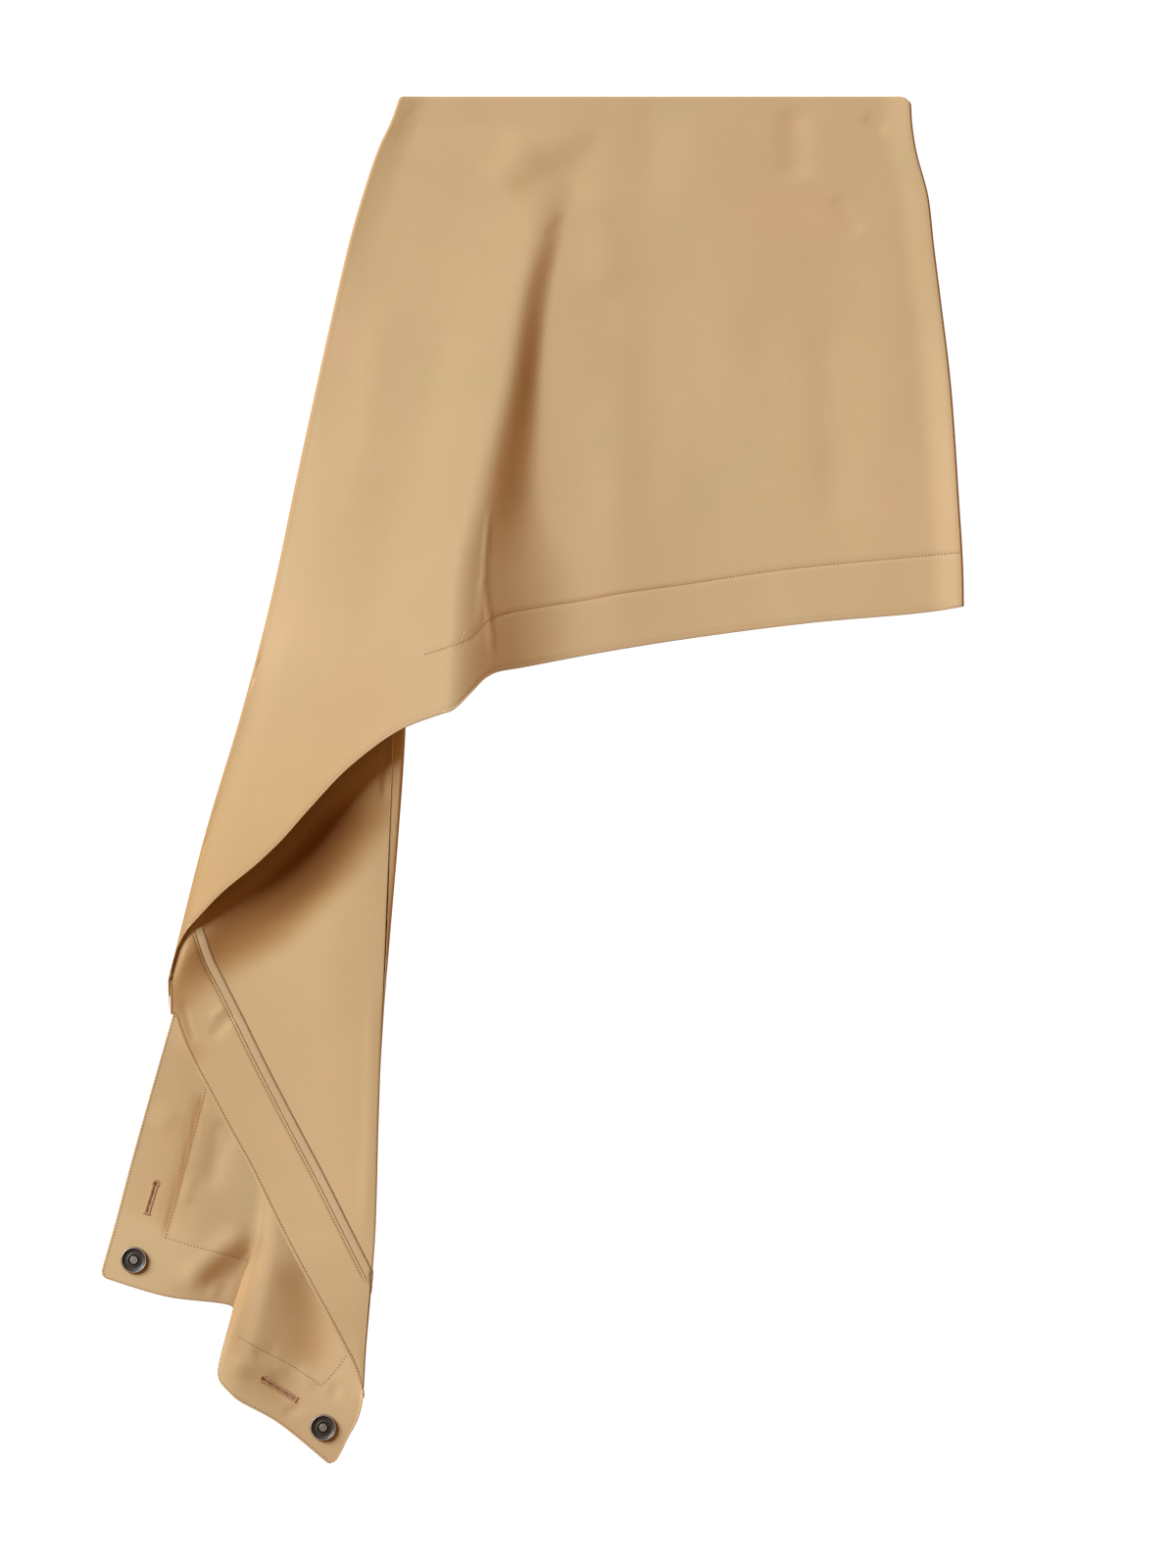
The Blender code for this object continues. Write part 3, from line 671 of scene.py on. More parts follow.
class Sheet:
    """A thin closed shell through a grid of places."""

    RIM = 4               # faces round an edge
    SHARP = 60.0          # degrees
    LIT_SIDE = 0.15       # how much painted shade darkens a side that faces the light

    def __init__(self, name: str, grid: Array, above: Any = HALF, below: Any = HALF,
                 edges: Edges = Edges(), painted_shading: Any = 0.0) -> None:
        """Make the shell.

        Args:
            name: the piece's name.
            grid: rows and columns of points in metres, rows running down the cloth.
            above: thickness on the upper side of the grid, in mm.
            below: thickness on its lower side, in mm.
            edges: how each side ends.
            painted_shading: painted light (above 0) or painted shade (below 0) for each point.
        """
        self.grid = grid
        self.shape = grid.shape[:2]
        self.ways = [np.gradient(grid, axis=axis) for axis in (0, 1)]
        self.normals = unit(np.cross(*self.ways))    # upward
        self.above, self.below, self.painted_shading = (
            np.broadcast_to(np.asarray(value, dtype=float) * scale, self.shape)
            for value, scale in ((above, MM), (below, MM), (painted_shading, 1.0)))
        self.edges = edges
        self.object = self._build(name)

    def _way_out(self, r: Array, c: Array) -> Array:
        """Return the way out of the cloth at border points, of length 0 along a seam."""
        edges = self.edges
        sides = zip((r, c), self.shape, self.ways, ((edges.top, edges.bottom), (edges.left, edges.right)))
        out = sum(unit(way)[r, c] * (1.0 * (at == count - 1) * last - (at == 0) * first)[:, None]
                  for at, count, way, (first, last) in sides)
        length = np.linalg.norm(out, axis=1, keepdims=True)
        return np.where(length > 0.5, out / np.maximum(length, 1e-9), 0.0)

    def _build(self, name: str) -> Object:
        """Make the mesh object of the shell."""
        number = np.arange(self.painted_shading.size).reshape(self.shape)
        border = np.concatenate((number[0, :-1], number[:-1, -1], number[-1, :0:-1], number[:0:-1, 0]))
        r, c = np.divmod(border, self.shape[1])
        out = self._way_out(r, c)
        radius = (self.above + self.below) / 2
        centre = self.grid + self.normals * ((self.above - self.below) / 2)[..., None]
        centre[r, c] -= out * radius[r, c][:, None]
        thick = self.normals * radius[..., None]
        rims = [centre[r, c] + self.normals[r, c] * (radius[r, c] * np.cos(angle))[:, None]
                + out * (radius[r, c] * np.sin(angle))[:, None]
                for angle in (np.pi * k / self.RIM for k in range(1, self.RIM))]
        points = np.concatenate([(centre + thick).reshape(-1, 3), (centre - thick).reshape(-1, 3), *rims])
        top = np.stack((number[:-1, :-1], number[1:, :-1], number[1:, 1:], number[:-1, 1:]), -1)
        top = top.reshape(-1, 4)
        around = 2 * number.size + np.arange(len(border) * len(rims)).reshape(len(rims), -1)
        levels = [border, *around, border + number.size]
        rim_faces = [np.stack((a, np.roll(a, -1), np.roll(b, -1), b), -1)
                     for a, b in zip(levels[:-1], levels[1:])]
        faces = np.concatenate([top, top[:, ::-1] + number.size, *rim_faces])
        kinds = np.zeros(len(faces), dtype=np.int32)
        kinds[len(top):2 * len(top)] = 1
        mesh = make_mesh(name, points.tolist(), faces.tolist(), kinds, self.SHARP)
        self._cloth_map(mesh, r, c)
        return hang(name, mesh)

    def _cloth_map(self, mesh: bpy.types.Mesh, r: Array, c: Array) -> None:
        """Store the cloth's own coordinates in metres, its painted light and shade, and its painted bounce
        light.

        Painted shade darkens sides that face the light, and painted warm bounce light (glow) tints cloth
        that faces away from it.
        """
        def by_point(values: Array) -> Array:
            """Repeat the grid's values for both sides and the rims."""
            flat = values.reshape(number, -1)
            return np.concatenate([flat] * 2 + [values[r, c].reshape(len(r), -1)] * (self.RIM - 1))

        number = self.painted_shading.size
        across = np.linalg.norm(np.diff(self.grid, axis=1, prepend=self.grid[:, :1]), axis=2)
        down = np.linalg.norm(np.diff(self.grid, axis=0, prepend=self.grid[:1]), axis=2)
        u = np.cumsum(across, axis=1)
        u = u - u[:, self.shape[1] // 2][:, None]
        v = np.cumsum(down, axis=0) + (LENGTH / 2 * MM - self.grid[:1, :, 1])
        loops = np.empty(len(mesh.loops), dtype=np.int32)
        mesh.loops.foreach_get("vertex_index", loops)
        places = by_point(np.stack((u, v), -1))[loops]
        mesh.uv_layers.new(name="cloth").data.foreach_set("uv", places.ravel())
        # painted shade on sides that face the light; painted warm bounce light on sides that face away
        away = -self.normals @ np.array(TO_LIGHT)
        plain = 1.0 - np.clip(self.painted_shading, 0.0, 1.0)
        painted_shading = self.painted_shading - self.LIT_SIDE * (ease((-away - 0.35) / 0.4) * plain)
        for name, values in (("painted_shading", painted_shading), ("glow", ease(2.4 * away - 0.1) * plain)):
            attribute = mesh.attributes.new(name, "FLOAT", "POINT")
            attribute.data.foreach_set("value", by_point(values).ravel().astype(np.float32))

    def dress(self, upper: Material, lower: Material) -> "Sheet":
        """Give the shell its materials."""
        for finish in (upper, lower):
            self.object.data.materials.append(finish)
        return self

    def tree(self) -> BVHTree:
        """Return a search tree of the shell's faces."""
        mesh = self.object.data
        return BVHTree.FromPolygons([v.co for v in mesh.vertices],
                                    [tuple(p.vertices) for p in mesh.polygons])


def lay_on(tree: BVHTree, places: Array, lift: float = 0.0) -> Laid:
    """Drop places of the tables onto a panel from above.

    Args:
        tree: the panel's faces.
        places: x and down of each place.
        lift: how far above the panel the points end, in mm.

    Returns:
        The points in metres and the panel's normals there.
    """
    points: list[Vector] = []
    normals: list[Vector] = []
    overhead = 80.0
    for x, down in places:
        start = Vector(to_scene(x, down, overhead).tolist())
        hit, normal, _, _ = tree.ray_cast(start, Vector((0.0, 0.0, -1.0)))
        if hit is not None:
            points.append(hit + normal * lift * MM)
            normals.append(normal)
    return points, normals


def join(name: str, things: Sequence[Object]) -> Object:
    """Join mesh objects at the origin into one."""
    with bpy.context.temp_override(active_object=things[0], selected_editable_objects=list(things)):
        bpy.ops.object.join()
    things[0].name = name
    things[0].data.name = name
    return things[0]


def dress_piece(thing: Object, slot: str, *nodes: str) -> None:
    """Hang a finished piece on the body, hide the nodes it stands for and log its face count."""
    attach(thing, BODY)
    if nodes:
        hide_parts(*nodes)
    log.info("%s: %d faces", thing.name, len(thing.data.polygons))


# ---------------------------------------------------------------- stitches

class StitchTree:
    """A Geometry Nodes tree that sews stitches along a line."""

    FLOATS = ("Pitch", "Length", "Width", "Height", "Turn", "Wobble")
    INPUTS = {name: "Float" for name in FLOATS} | {"Seed": "Int", "Thread": "Material"}

    def __init__(self) -> None:
        """Build the tree."""
        self.tree = bpy.data.node_groups.new("sewn stitches", "GeometryNodeTree")
        face = self.tree.interface
        face.new_socket("Line", in_out="INPUT", socket_type="NodeSocketGeometry")
        self.identifiers = {
            name: face.new_socket(name, in_out="INPUT", socket_type=f"NodeSocket{kind}").identifier
            for name, kind in self.INPUTS.items()
        }
        face.new_socket("Stitches", in_out="OUTPUT", socket_type="NodeSocketGeometry")
        book = NodeBook(self.tree)
        given = book.node("NodeGroupInput").outputs
        curve = book.wire("GeometryNodeMeshToCurve", {"Mesh": given["Line"]})
        points = book.wire("GeometryNodeResampleCurve", {"Curve": curve, "Length": given["Pitch"]},
                           {"mode": "LENGTH"})
        ball = book.wire("GeometryNodeMeshUVSphere", {"Segments": 8, "Rings": 5, "Radius": 0.5})
        size = book.wire("ShaderNodeCombineXYZ", dict(enumerate(given[name] for name in self.FLOATS[1:4])))
        bead = book.wire("GeometryNodeTransform", {"Geometry": ball, "Scale": size})
        placed = book.wire("GeometryNodeInstanceOnPoints", {
            "Points": points, "Instance": bead, "Rotation": self.turned(book, given),
        })
        real = book.wire("GeometryNodeRealizeInstances", {"Geometry": placed})
        soft = book.wire("GeometryNodeSetShadeSmooth", {"Geometry": real})
        done = book.wire("GeometryNodeSetMaterial", {"Geometry": soft, "Material": given["Thread"]})
        book.node("NodeGroupOutput", {0: done})

    def turned(self, book: NodeBook, given: Any) -> Wire:
        """Lay a stitch on the cloth along its line, then turn it by its kind and at random."""
        up = book.wire("GeometryNodeInputNamedAttribute", {"Name": "up"}, {"data_type": "FLOAT_VECTOR"})
        tangent = book.wire("GeometryNodeInputTangent")
        lie = book.wire("FunctionNodeAxesToRotation", {"Primary Axis": up, "Secondary Axis": tangent},
                        {"primary_axis": "Z", "secondary_axis": "X"})
        wobble = Wire(book, given["Wobble"])
        sway = book.wire("FunctionNodeRandomValue", {2: wobble * -1.0, 3: wobble, "Seed": given["Seed"]},
                         {"data_type": "FLOAT"}, 1)
        spin = book.wire("ShaderNodeCombineXYZ", {2: sway + given["Turn"]})
        spin = book.wire("FunctionNodeEulerToRotation", {0: spin})
        return book.wire("FunctionNodeRotateRotation", {"Rotation": lie, "Rotate By": spin},
                         {"rotation_space": "LOCAL"})

    def sew(self, name: str, laid: Laid, values: dict[str, Any]) -> Object:
        """Sew along a line and turn the result into a plain mesh.

        Args:
            name: the object's name.
            laid: points on a panel, and its normals there.
            values: the tree's inputs by name.

        Returns:
            The object that holds the stitches.
        """
        points, normals = laid
        line = bpy.data.meshes.new(name)
        line.from_pydata([tuple(p) for p in points], [(i, i + 1) for i in range(len(points) - 1)], [])
        up = line.attributes.new("up", "FLOAT_VECTOR", "POINT")
        up.data.foreach_set("vector", np.array([tuple(n) for n in normals], dtype=np.float32).ravel())
        thing = hang(name, line)
        modifier = thing.modifiers.new("Stitches", "NODES")
        modifier.node_group = self.tree
        for key, value in values.items():
            modifier[self.identifiers[key]] = value
        graph = bpy.context.evaluated_depsgraph_get()
        mesh = bpy.data.meshes.new_from_object(thing.evaluated_get(graph))
        thing.modifiers.remove(modifier)
        thing.data = mesh
        return thing


class Gauge(NamedTuple):
    """Sizes of one kind of stitch in mm, and its turn from the line in radians."""

    pitch: float
    length: float
    width: float
    height: float
    turn: float = 0.0
    wobble: float = 0.06


TOPSTITCH = Gauge(2.4, 1.35, 0.85, 0.46)
EDGE_STITCH = Gauge(2.3, 1.25, 0.75, 0.42)
SATIN = Gauge(0.46, 1.9, 0.52, 0.55, np.pi / 2, 0.10)
TACK = SATIN._replace(length=2.2, pitch=0.5)


class Sewing:
    """Sews lines of stitches on the panels."""

    def __init__(self, wardrobe: Wardrobe) -> None:
        """Build the stitch tree and start with no stitches."""
        self.trees = StitchTree()
        self.wardrobe = wardrobe
        self.seed = 11

    def line(self, name: str, laid: Laid, gauge: Gauge, thread: Material | None = None) -> Object:
        """Sew one line of stitches through points on a panel.

        Args:
            name: the object's name.
            laid: the points, and the panel's normals there.
            gauge: the kind of stitch.
            thread: its thread, if it isn't the cloth's own.

        Returns:
            The object that holds the stitches.
        """
        self.seed += 1
        values = dict(zip(StitchTree.FLOATS, gauge))
        values |= {key: values[key] * MM for key in StitchTree.FLOATS[:4]}
        values |= {"Seed": self.seed, "Thread": thread or self.wardrobe.thread}
        return self.trees.sew(name, laid, values)


# ---------------------------------------------------------------- outline

@dataclass
class Outline:
    """Outline of the skirt and the folds at its sides.

    In the first table the drape fold's wall starts at "crest", is steepest at "steep" and
    ends at "foot". "lift" is how far the left fold stands over the tail's under layer.
    """

    turn_down: float = 653.0
    turn_above: float = 24.0
    turn_below: float = 21.0
    turn_still: float = 4.5
    side_still: float = 440.0
    press: float = 0.45       # how much flatter than round the side folds are pressed
    left_corner: float = 2.8  # radii of the waist edge's corners
    right_corner: float = 8.0
    front: Table = Table(
        "down left crest steep foot right lie tilt",
        (0, -97, 12, 40, 60, 278.5, 4.2, 0),
        (18.5, -103.5, 8, 38, 58, 279.5, 4.2, 0),
        (36.5, -112, 2, 30, 50, 282, 4.6, 0.002),
        (76.5, -125.5, -10, 16, 32, 292, 5, 0.010),
        (108.5, -134.5, -10, 10.5, 24, 295.5, 5.5, 0.024),
        (144.5, -143, -15, 2.5, 17, 300, 6.3, 0.036),
        (216.5, -159, -32, -7, 9, 308.5, 8, 0.055),
        (288.5, -174.5, -45, -18, 10, 313.5, 9.5, 0.080),
        (360.5, -189.5, -57, -23, 44, 317.4, 10, 0.112),
        (448.5, -212, -63, -25, 46, 318, 12, 0.128),
        (540.5, -239.5, -88, -50, 40, 320.5, 12.5, 0.255),
        (612.5, -258, -98, -60, 30, 321, 7.6, 0.320),
        (648.5, -267, -103, -66, 25, 321.5, 4.6, 0.260),
    )
    sides: Table = Table(
        "down left_radius right_radius lift",
        (0, 2.8, 2.8, 0), (150, 3.4, 3.2, 0), (300, 4, 3.4, 0), (396, 4.1, 3.4, 0.1),
        (440, 4.1, 3.4, 1.9), (540, 3.9, 3.4, 1.9), (600, 2.4, 3.4, 1.9), (630, 1.6, 3.4, 1.9),
        (660, 1.3, 3.4, 1.9),
    )

    def left(self, down: Any) -> Array:
        """Outline of the left fold, which stands still below the hem's turn."""
        return self.front("left", np.minimum(down, self.turn_down - self.turn_still))

    def left_fold(self, down: Any) -> tuple[Array, Array]:
        """Height of the left fold's middle, and its radius."""
        at = np.minimum(down, self.turn_down)
        radius = self.sides("left_radius", at)
        return HALF + radius + self.sides("lift", at), radius

    def left_arc(self, down: Any, angle: Any) -> tuple[Array, Array]:
        """x and height on the left fold, at an angle up from its middle."""
        middle, radius = self.left_fold(down)
        return (self.left(down) + HALF + self.press * radius * (1 - np.cos(angle)),
                middle + radius * np.sin(angle))

    def lower_arc(self, down: Any, share: Any = 1.0) -> tuple[Array, Array]:
        """x and height on the left fold's lower half, from its middle to the underside."""
        return self.left_arc(down, -np.pi / 2 * np.asarray(share))

    def right_arc(self, down: Any, share: Any = 0.0, way: int = 1) -> tuple[Array, Array]:
        """x and height on the right fold, from the panel to its middle: way -1 is its lower half."""
        radius = self.sides("right_radius", np.minimum(down, self.side_still))
        angle = np.pi / 2 * (1 - share)
        return (self.front("right", down) - HALF - self.press * radius * (1 - np.cos(angle)),
                HALF + radius * (1 + way * np.sin(angle)))

    def corner(self, x: Array) -> Array:
        """How far below the waist edge each column starts, for the rounded corners."""
        start = np.zeros_like(x)
        sides = ((x - self.left(0.0), self.left_corner),
                 (self.front("right", 0.0) - x, self.right_corner))
        for distance, radius in sides:
            inside = np.clip(distance, 0.0, radius)
            start = np.maximum(start, radius - np.sqrt(radius ** 2 - (radius - inside) ** 2))
        return start


def hem_thickness(above_hem: Array) -> Array:
    """Thickness under the middle of the cloth, by distance to a hem that is turned up."""
    return HALF + HEM_TURN * ramp(above_hem, HEM_WIDTH + 1.0, HEM_WIDTH - 1.0)


def rows_down(start: Array, end: Array, rows: int, near: Sequence[float], stretch: Any = 1.0) -> Array:
    """Lay out levels from one edge of a panel to another.

    Args:
        start: level of the first edge in each column.
        end: level of the second one.
        rows: how many levels.
        near: distances of the last ones from the second edge.
        stretch: how much farther from it they are where it is steep.

    Returns:
        The levels, row by row.
    """
    close = np.array(near)[:, None] * stretch
    spread = np.linspace(0.0, 1.0, rows - len(close), endpoint=False)[:, None]
    return np.concatenate((mix(start, end - close[0], spread), end - close))


# ---------------------------------------------------------------- front

HEM_STITCH_LINE = (
    (-77.4, 409.7), (-51.5, 401), (-44.3, 397.4), (-32, 385.2), (-27, 382.3), (9.7, 374.4),
    (41.4, 369.4), (55.1, 366.5), (114.8, 357.8), (188.3, 347), (316.6, 334.8),
)


@dataclass
class FrontPanel:
    """The skirt's front, from the left fold over the drape fold to the right side."""

    outline: Outline
    rest: float = 4.2         # height of the cloth to the right of the drape fold
    side_run: float = 22.0    # how far in from a side fold the cloth has come to lie
    above_hem: float = 330.0  # a level above the whole hem
    pale: float = 0.12        # painted light on the right part
    deep: float = 0.13        # painted shade towards the tail's turn,
    sunk: float = 0.08        # along the hem's stitches
    shaded: float = 0.07      # and down the left fold
    hem: Table = Table(
        "x down",
        (-261.5, 628.5), (-255, 615.5), (-243.5, 602), (-226.5, 584.5), (-202, 564.5),
        (-183, 546.5), (-164, 525), (-133, 492.5), (-92, 463.5), (-68, 454.5), (-57.5, 451),
        (-51, 445.5), (-41.5, 435.5), (-33.5, 427.5), (-25, 423), (-9, 420), (48.5, 409),
        (120.5, 397.5), (207, 386.5), (293.5, 378.5), (318, 374.5),
    )
    forms: Forms = (
        Oval(150, 225, 40, 130, 1.5), Oval(205, 250, 26, 100, 0.8), Oval(262, 210, 26, 100, 0.8),
        Oval(88, 40, 16, 42, -0.7), Oval(17, 52, 18, 16, -1.1), Oval(62, 300, 20, 70, 1),
        Crease(((56, 22), (38, 44), (23, 74)), 12, -0.35),
        Crease(((1.8, 29.5), (-14, 50), (-31, 69)), 14, 0.7),
        Crease(((40, 62), (52, 96), (58, 150)), 15, 0.7),
        Crease(((243, 15), (261, 26)), 6, -0.5),
        Crease(((221, 72), (243, 102)), 7, -0.45),
        Crease(((192, 4), (194, 66)), 12, -0.9),
        Crease(((-29.5, 296), (-33, 326), (-34.6, 354), (-31, 385), (-27.7, 421)), 1.7, 0.7),
        Crease(((-36.5, 350), (-37.5, 388)), 1.5, 0.45),
        Crease(((-81, 8), (-97.5, 18.5)), 2.6, -0.2),
        Crease(((-52, 130), (-95, 300), (-128, 420)), 20, -0.7),
        Crease(((-100, 120), (-140, 330)), 16, 0.6),
        Crease(((90, 120), (86, 330)), 16, -0.25),
        Crease(((215, 150), (222, 330)), 14, -0.6),
        Crease(((292, 30), (301, 120)), 6, -0.8),
        Waves(62, 0.55, 3.1), Waves(24, 0.10, 8.4),
    )
    # painted shade by the top of the drape fold
    wear_and_painted_shade: Forms = (
        Crease(((33, 30), (12, 52), (-22, 72)), 8, 0.045),
        Crease(((24, 84), (8, 104)), 3, 0.08),
    )
    stitch_groove: Crease = Crease(HEM_STITCH_LINE, 1.3, -0.28, 0.0)
    edge_groove: tuple[float, float, float] = (2.3, 0.7, 0.22)   # distance to the hem, width, depth
    side_ease: float = 5200.0   # the forms fade by a side where x to both sides multiplies to less
    columns: Columns = (("left_arc", 9), ("drape", 72), ("wall", 46), ("apron", 80), ("right_arc", 10))
    near_hem: tuple[float, ...] = (
        49, 45.5, 43.2, 41.7, 40.8, 40, 39.2, 38.3, 36.8, 34.5, 31, 27, 22.5, 18, 13.5, 9.5, 6,
        3.8, 2.7, 1.9, 1.1, 0.45, 0,
    )
    rows: int = 196

    def height(self, x: Array, down: Array) -> Array:
        """Work out the height of the cloth between its side folds.

        Args:
            x: places across.
            down: their levels.

        Returns:
            Heights of the cloth's middle in mm.
        """
        line = self.outline
        start, start_z = line.left_arc(down, self.turn(down))
        side, side_z = line.right_arc(down)
        crest, steep, foot, lie, tilt = (line.front(name, down)
                                         for name in ("crest", "steep", "foot", "lie", "tilt"))
        drape = smooth((start, start + self.side_run, crest),
                       (start_z, lie + tilt * self.side_run, lie + tilt * (crest - start)), x)
        rest = np.full_like(start, self.rest)
        apron = smooth((side - 2 * self.side_run, side - self.side_run, side), (rest, rest, side_z), x)
        bend = np.log(0.5) / np.log((steep - crest) / (foot - crest))
        fall = np.clip((x - crest) / (foot - crest), 0.0, 1.0) ** bend
        return mix(drape, apron, fall ** 3 * (10 - 15 * fall + 6 * fall ** 2))

    def turn(self, down: Array) -> Array:
        """Angle at which the left fold runs on into the tilted cloth."""
        return np.arctan2(1.0, self.outline.press * self.outline.front("tilt", down))

    def place(self, parts: Array, share: Array, down: Array) -> tuple[Array, Array]:
        """Work out places on the panel.

        Args:
            parts: the part that each place is in.
            share: how far across that part it is.
            down: its level.

        Returns:
            x and height of each place.
        """
        line = self.outline
        turn = self.turn(down)
        crest, foot = line.front("crest", down), line.front("foot", down)
        kinds = [parts == "drape", parts == "wall"]
        start = np.select(kinds, [line.left_arc(down, turn)[0], crest], foot)
        end = np.select(kinds, [crest, foot], line.right_arc(down)[0])
        x = mix(start, end, share)
        arcs = (line.left_arc(down, turn * share), line.right_arc(down, share))
        return beside([parts == "left_arc", parts == "right_arc"], arcs, x, self.height(x, down))

    def hem_level(self, x: Array) -> Array:
        """Level of the front hem at each x."""
        return self.hem("down", x)

    def grid(self) -> tuple[Array, Array, Array]:
        """Lay out the panel.

        Returns:
            The part, share and level of every grid point.
        """
        line = self.outline
        parts, share = shares(self.columns)
        start = line.corner(self.place(parts, share, np.zeros(len(parts)))[0])
        low = line.turn_down - line.turn_above
        end = meet(lambda d: self.place(parts, share, d)[0], self.hem_level, self.above_hem, low,
                   len(parts))
        arc = parts == "left_arc"
        end = np.where(arc, line.turn_down - line.turn_above * share, end)
        x_end = self.place(parts, share, end)[0]
        slope = np.gradient(end) / np.maximum(np.abs(np.gradient(x_end)), 1e-6)
        steep = np.where(arc, 1.0, np.sqrt(1 + np.clip(slope, -1.0, 1.0) ** 2))
        return np.broadcast_arrays(parts, share, rows_down(start, end, self.rows, self.near_hem, steep))

    def build(self, wardrobe: Wardrobe) -> Sheet:
        """Make the front as a thin shell with its folds and creases."""
        parts, share, down = self.grid()
        x, height = self.place(parts, share, down)
        above_hem = self.hem_level(x) - down
        detail = relief((*self.forms, self.stitch_groove), x, down)
        line, width, depth = self.edge_groove
        detail -= depth * np.exp(-((above_hem - line) / width) ** 2)
        inside = (x - self.outline.left(down)) * (self.outline.front("right", down) - x)
        detail *= ~np.isin(parts, ("left_arc", "right_arc")) * ease(inside / self.side_ease)
        sheet = Sheet("front", to_scene(x, down, height + detail), below=hem_thickness(above_hem),
                      painted_shading=self.painted_shading(x, down))
        return sheet.dress(wardrobe.right, wardrobe.wrong)

    def painted_shading(self, x: Array, down: Array) -> Array:
        """Painted light on the right part, and painted shade towards the tail's turn, by the drape fold's
        top, along the stitches and down the left fold.
        """
        pale = self.pale * ramp(x, 110.0, 180.0) * ramp(down, 90.0, 270.0)
        deep = self.deep * ramp(down, 400.0, 560.0) * ramp(x, -60.0, -120.0)
        sunk = self.sunk * self.stitch_groove.at(x, down) / self.stitch_groove.height
        side = self.shaded * ramp(x - self.outline.left(down), 6.0, 1.0)
        return pale - deep - sunk - relief(self.wear_and_painted_shade, x, down) - side


# ---------------------------------------------------------------- back

@dataclass
class BackPanel:
    """The skirt's back, lying on the surface under the front."""

    outline: Outline
    front: FrontPanel
    seam_left: Place = (-198.0, 400.0)
    seam_right: Place = (318.0, 369.5)
    rise: Oval = Oval(-99.0, 0.0, 30.0, 70.0, 4.2)   # its height where the tail's fold starts
    search: tuple[float, float] = (300.0, 430.0)   # levels above and below its lower edge
    crowding: float = 0.9     # below 1, its rows lie closer towards the lower edge
    columns: Columns = (("left_arc", 8), ("flat", 90), ("right_arc", 9))
    rows: int = 110

    def seam_level(self, x: Any) -> Array:
        """Level of the back hem and of the hidden seam with the tail."""
        (left, high), (right, low) = self.seam_left, self.seam_right
        return mix(high, low, (x - left) / (right - left))

    def seam_rise(self, x: Any, down: Any) -> Array:
        """How far the back climbs to the start of the tail's fold."""
        rise = self.rise
        across = np.exp(-((x - rise.x) / rise.half_width) ** 2)
        near = (down - (self.seam_level(x) - rise.half_length)) / rise.half_length
        return rise.height * across * ease(near)

    def place(self, parts: Array, share: Array, down: Array) -> tuple[Array, Array]:
        """Return x and height of places given by part, share and level."""
        line = self.outline
        x = mix(line.lower_arc(down)[0], line.right_arc(down)[0], share)
        arcs = (line.lower_arc(down, share), line.right_arc(down, share, -1))
        kinds = [parts == "left_arc", parts == "right_arc"]
        return beside(kinds, arcs, x, HALF + self.seam_rise(x, down))

    def build(self, wardrobe: Wardrobe) -> Sheet:
        """Make the back as a thin shell."""
        parts, share = shares(self.columns)
        start = self.outline.corner(self.place(parts, share, np.zeros(len(parts)))[0])
        end = meet(lambda d: self.place(parts, share, d)[0], self.seam_level, *self.search, len(parts))
        down = mix(start, end, np.linspace(0.0, 1.0, self.rows)[:, None] ** self.crowding)
        x, height = self.place(parts, share, down)
        sheet = Sheet("back", to_scene(x, down, height), above=hem_thickness(self.seam_level(x) - down))
        return sheet.dress(wardrobe.wrong, wardrobe.right)


# ---------------------------------------------------------------- tail, upper layer

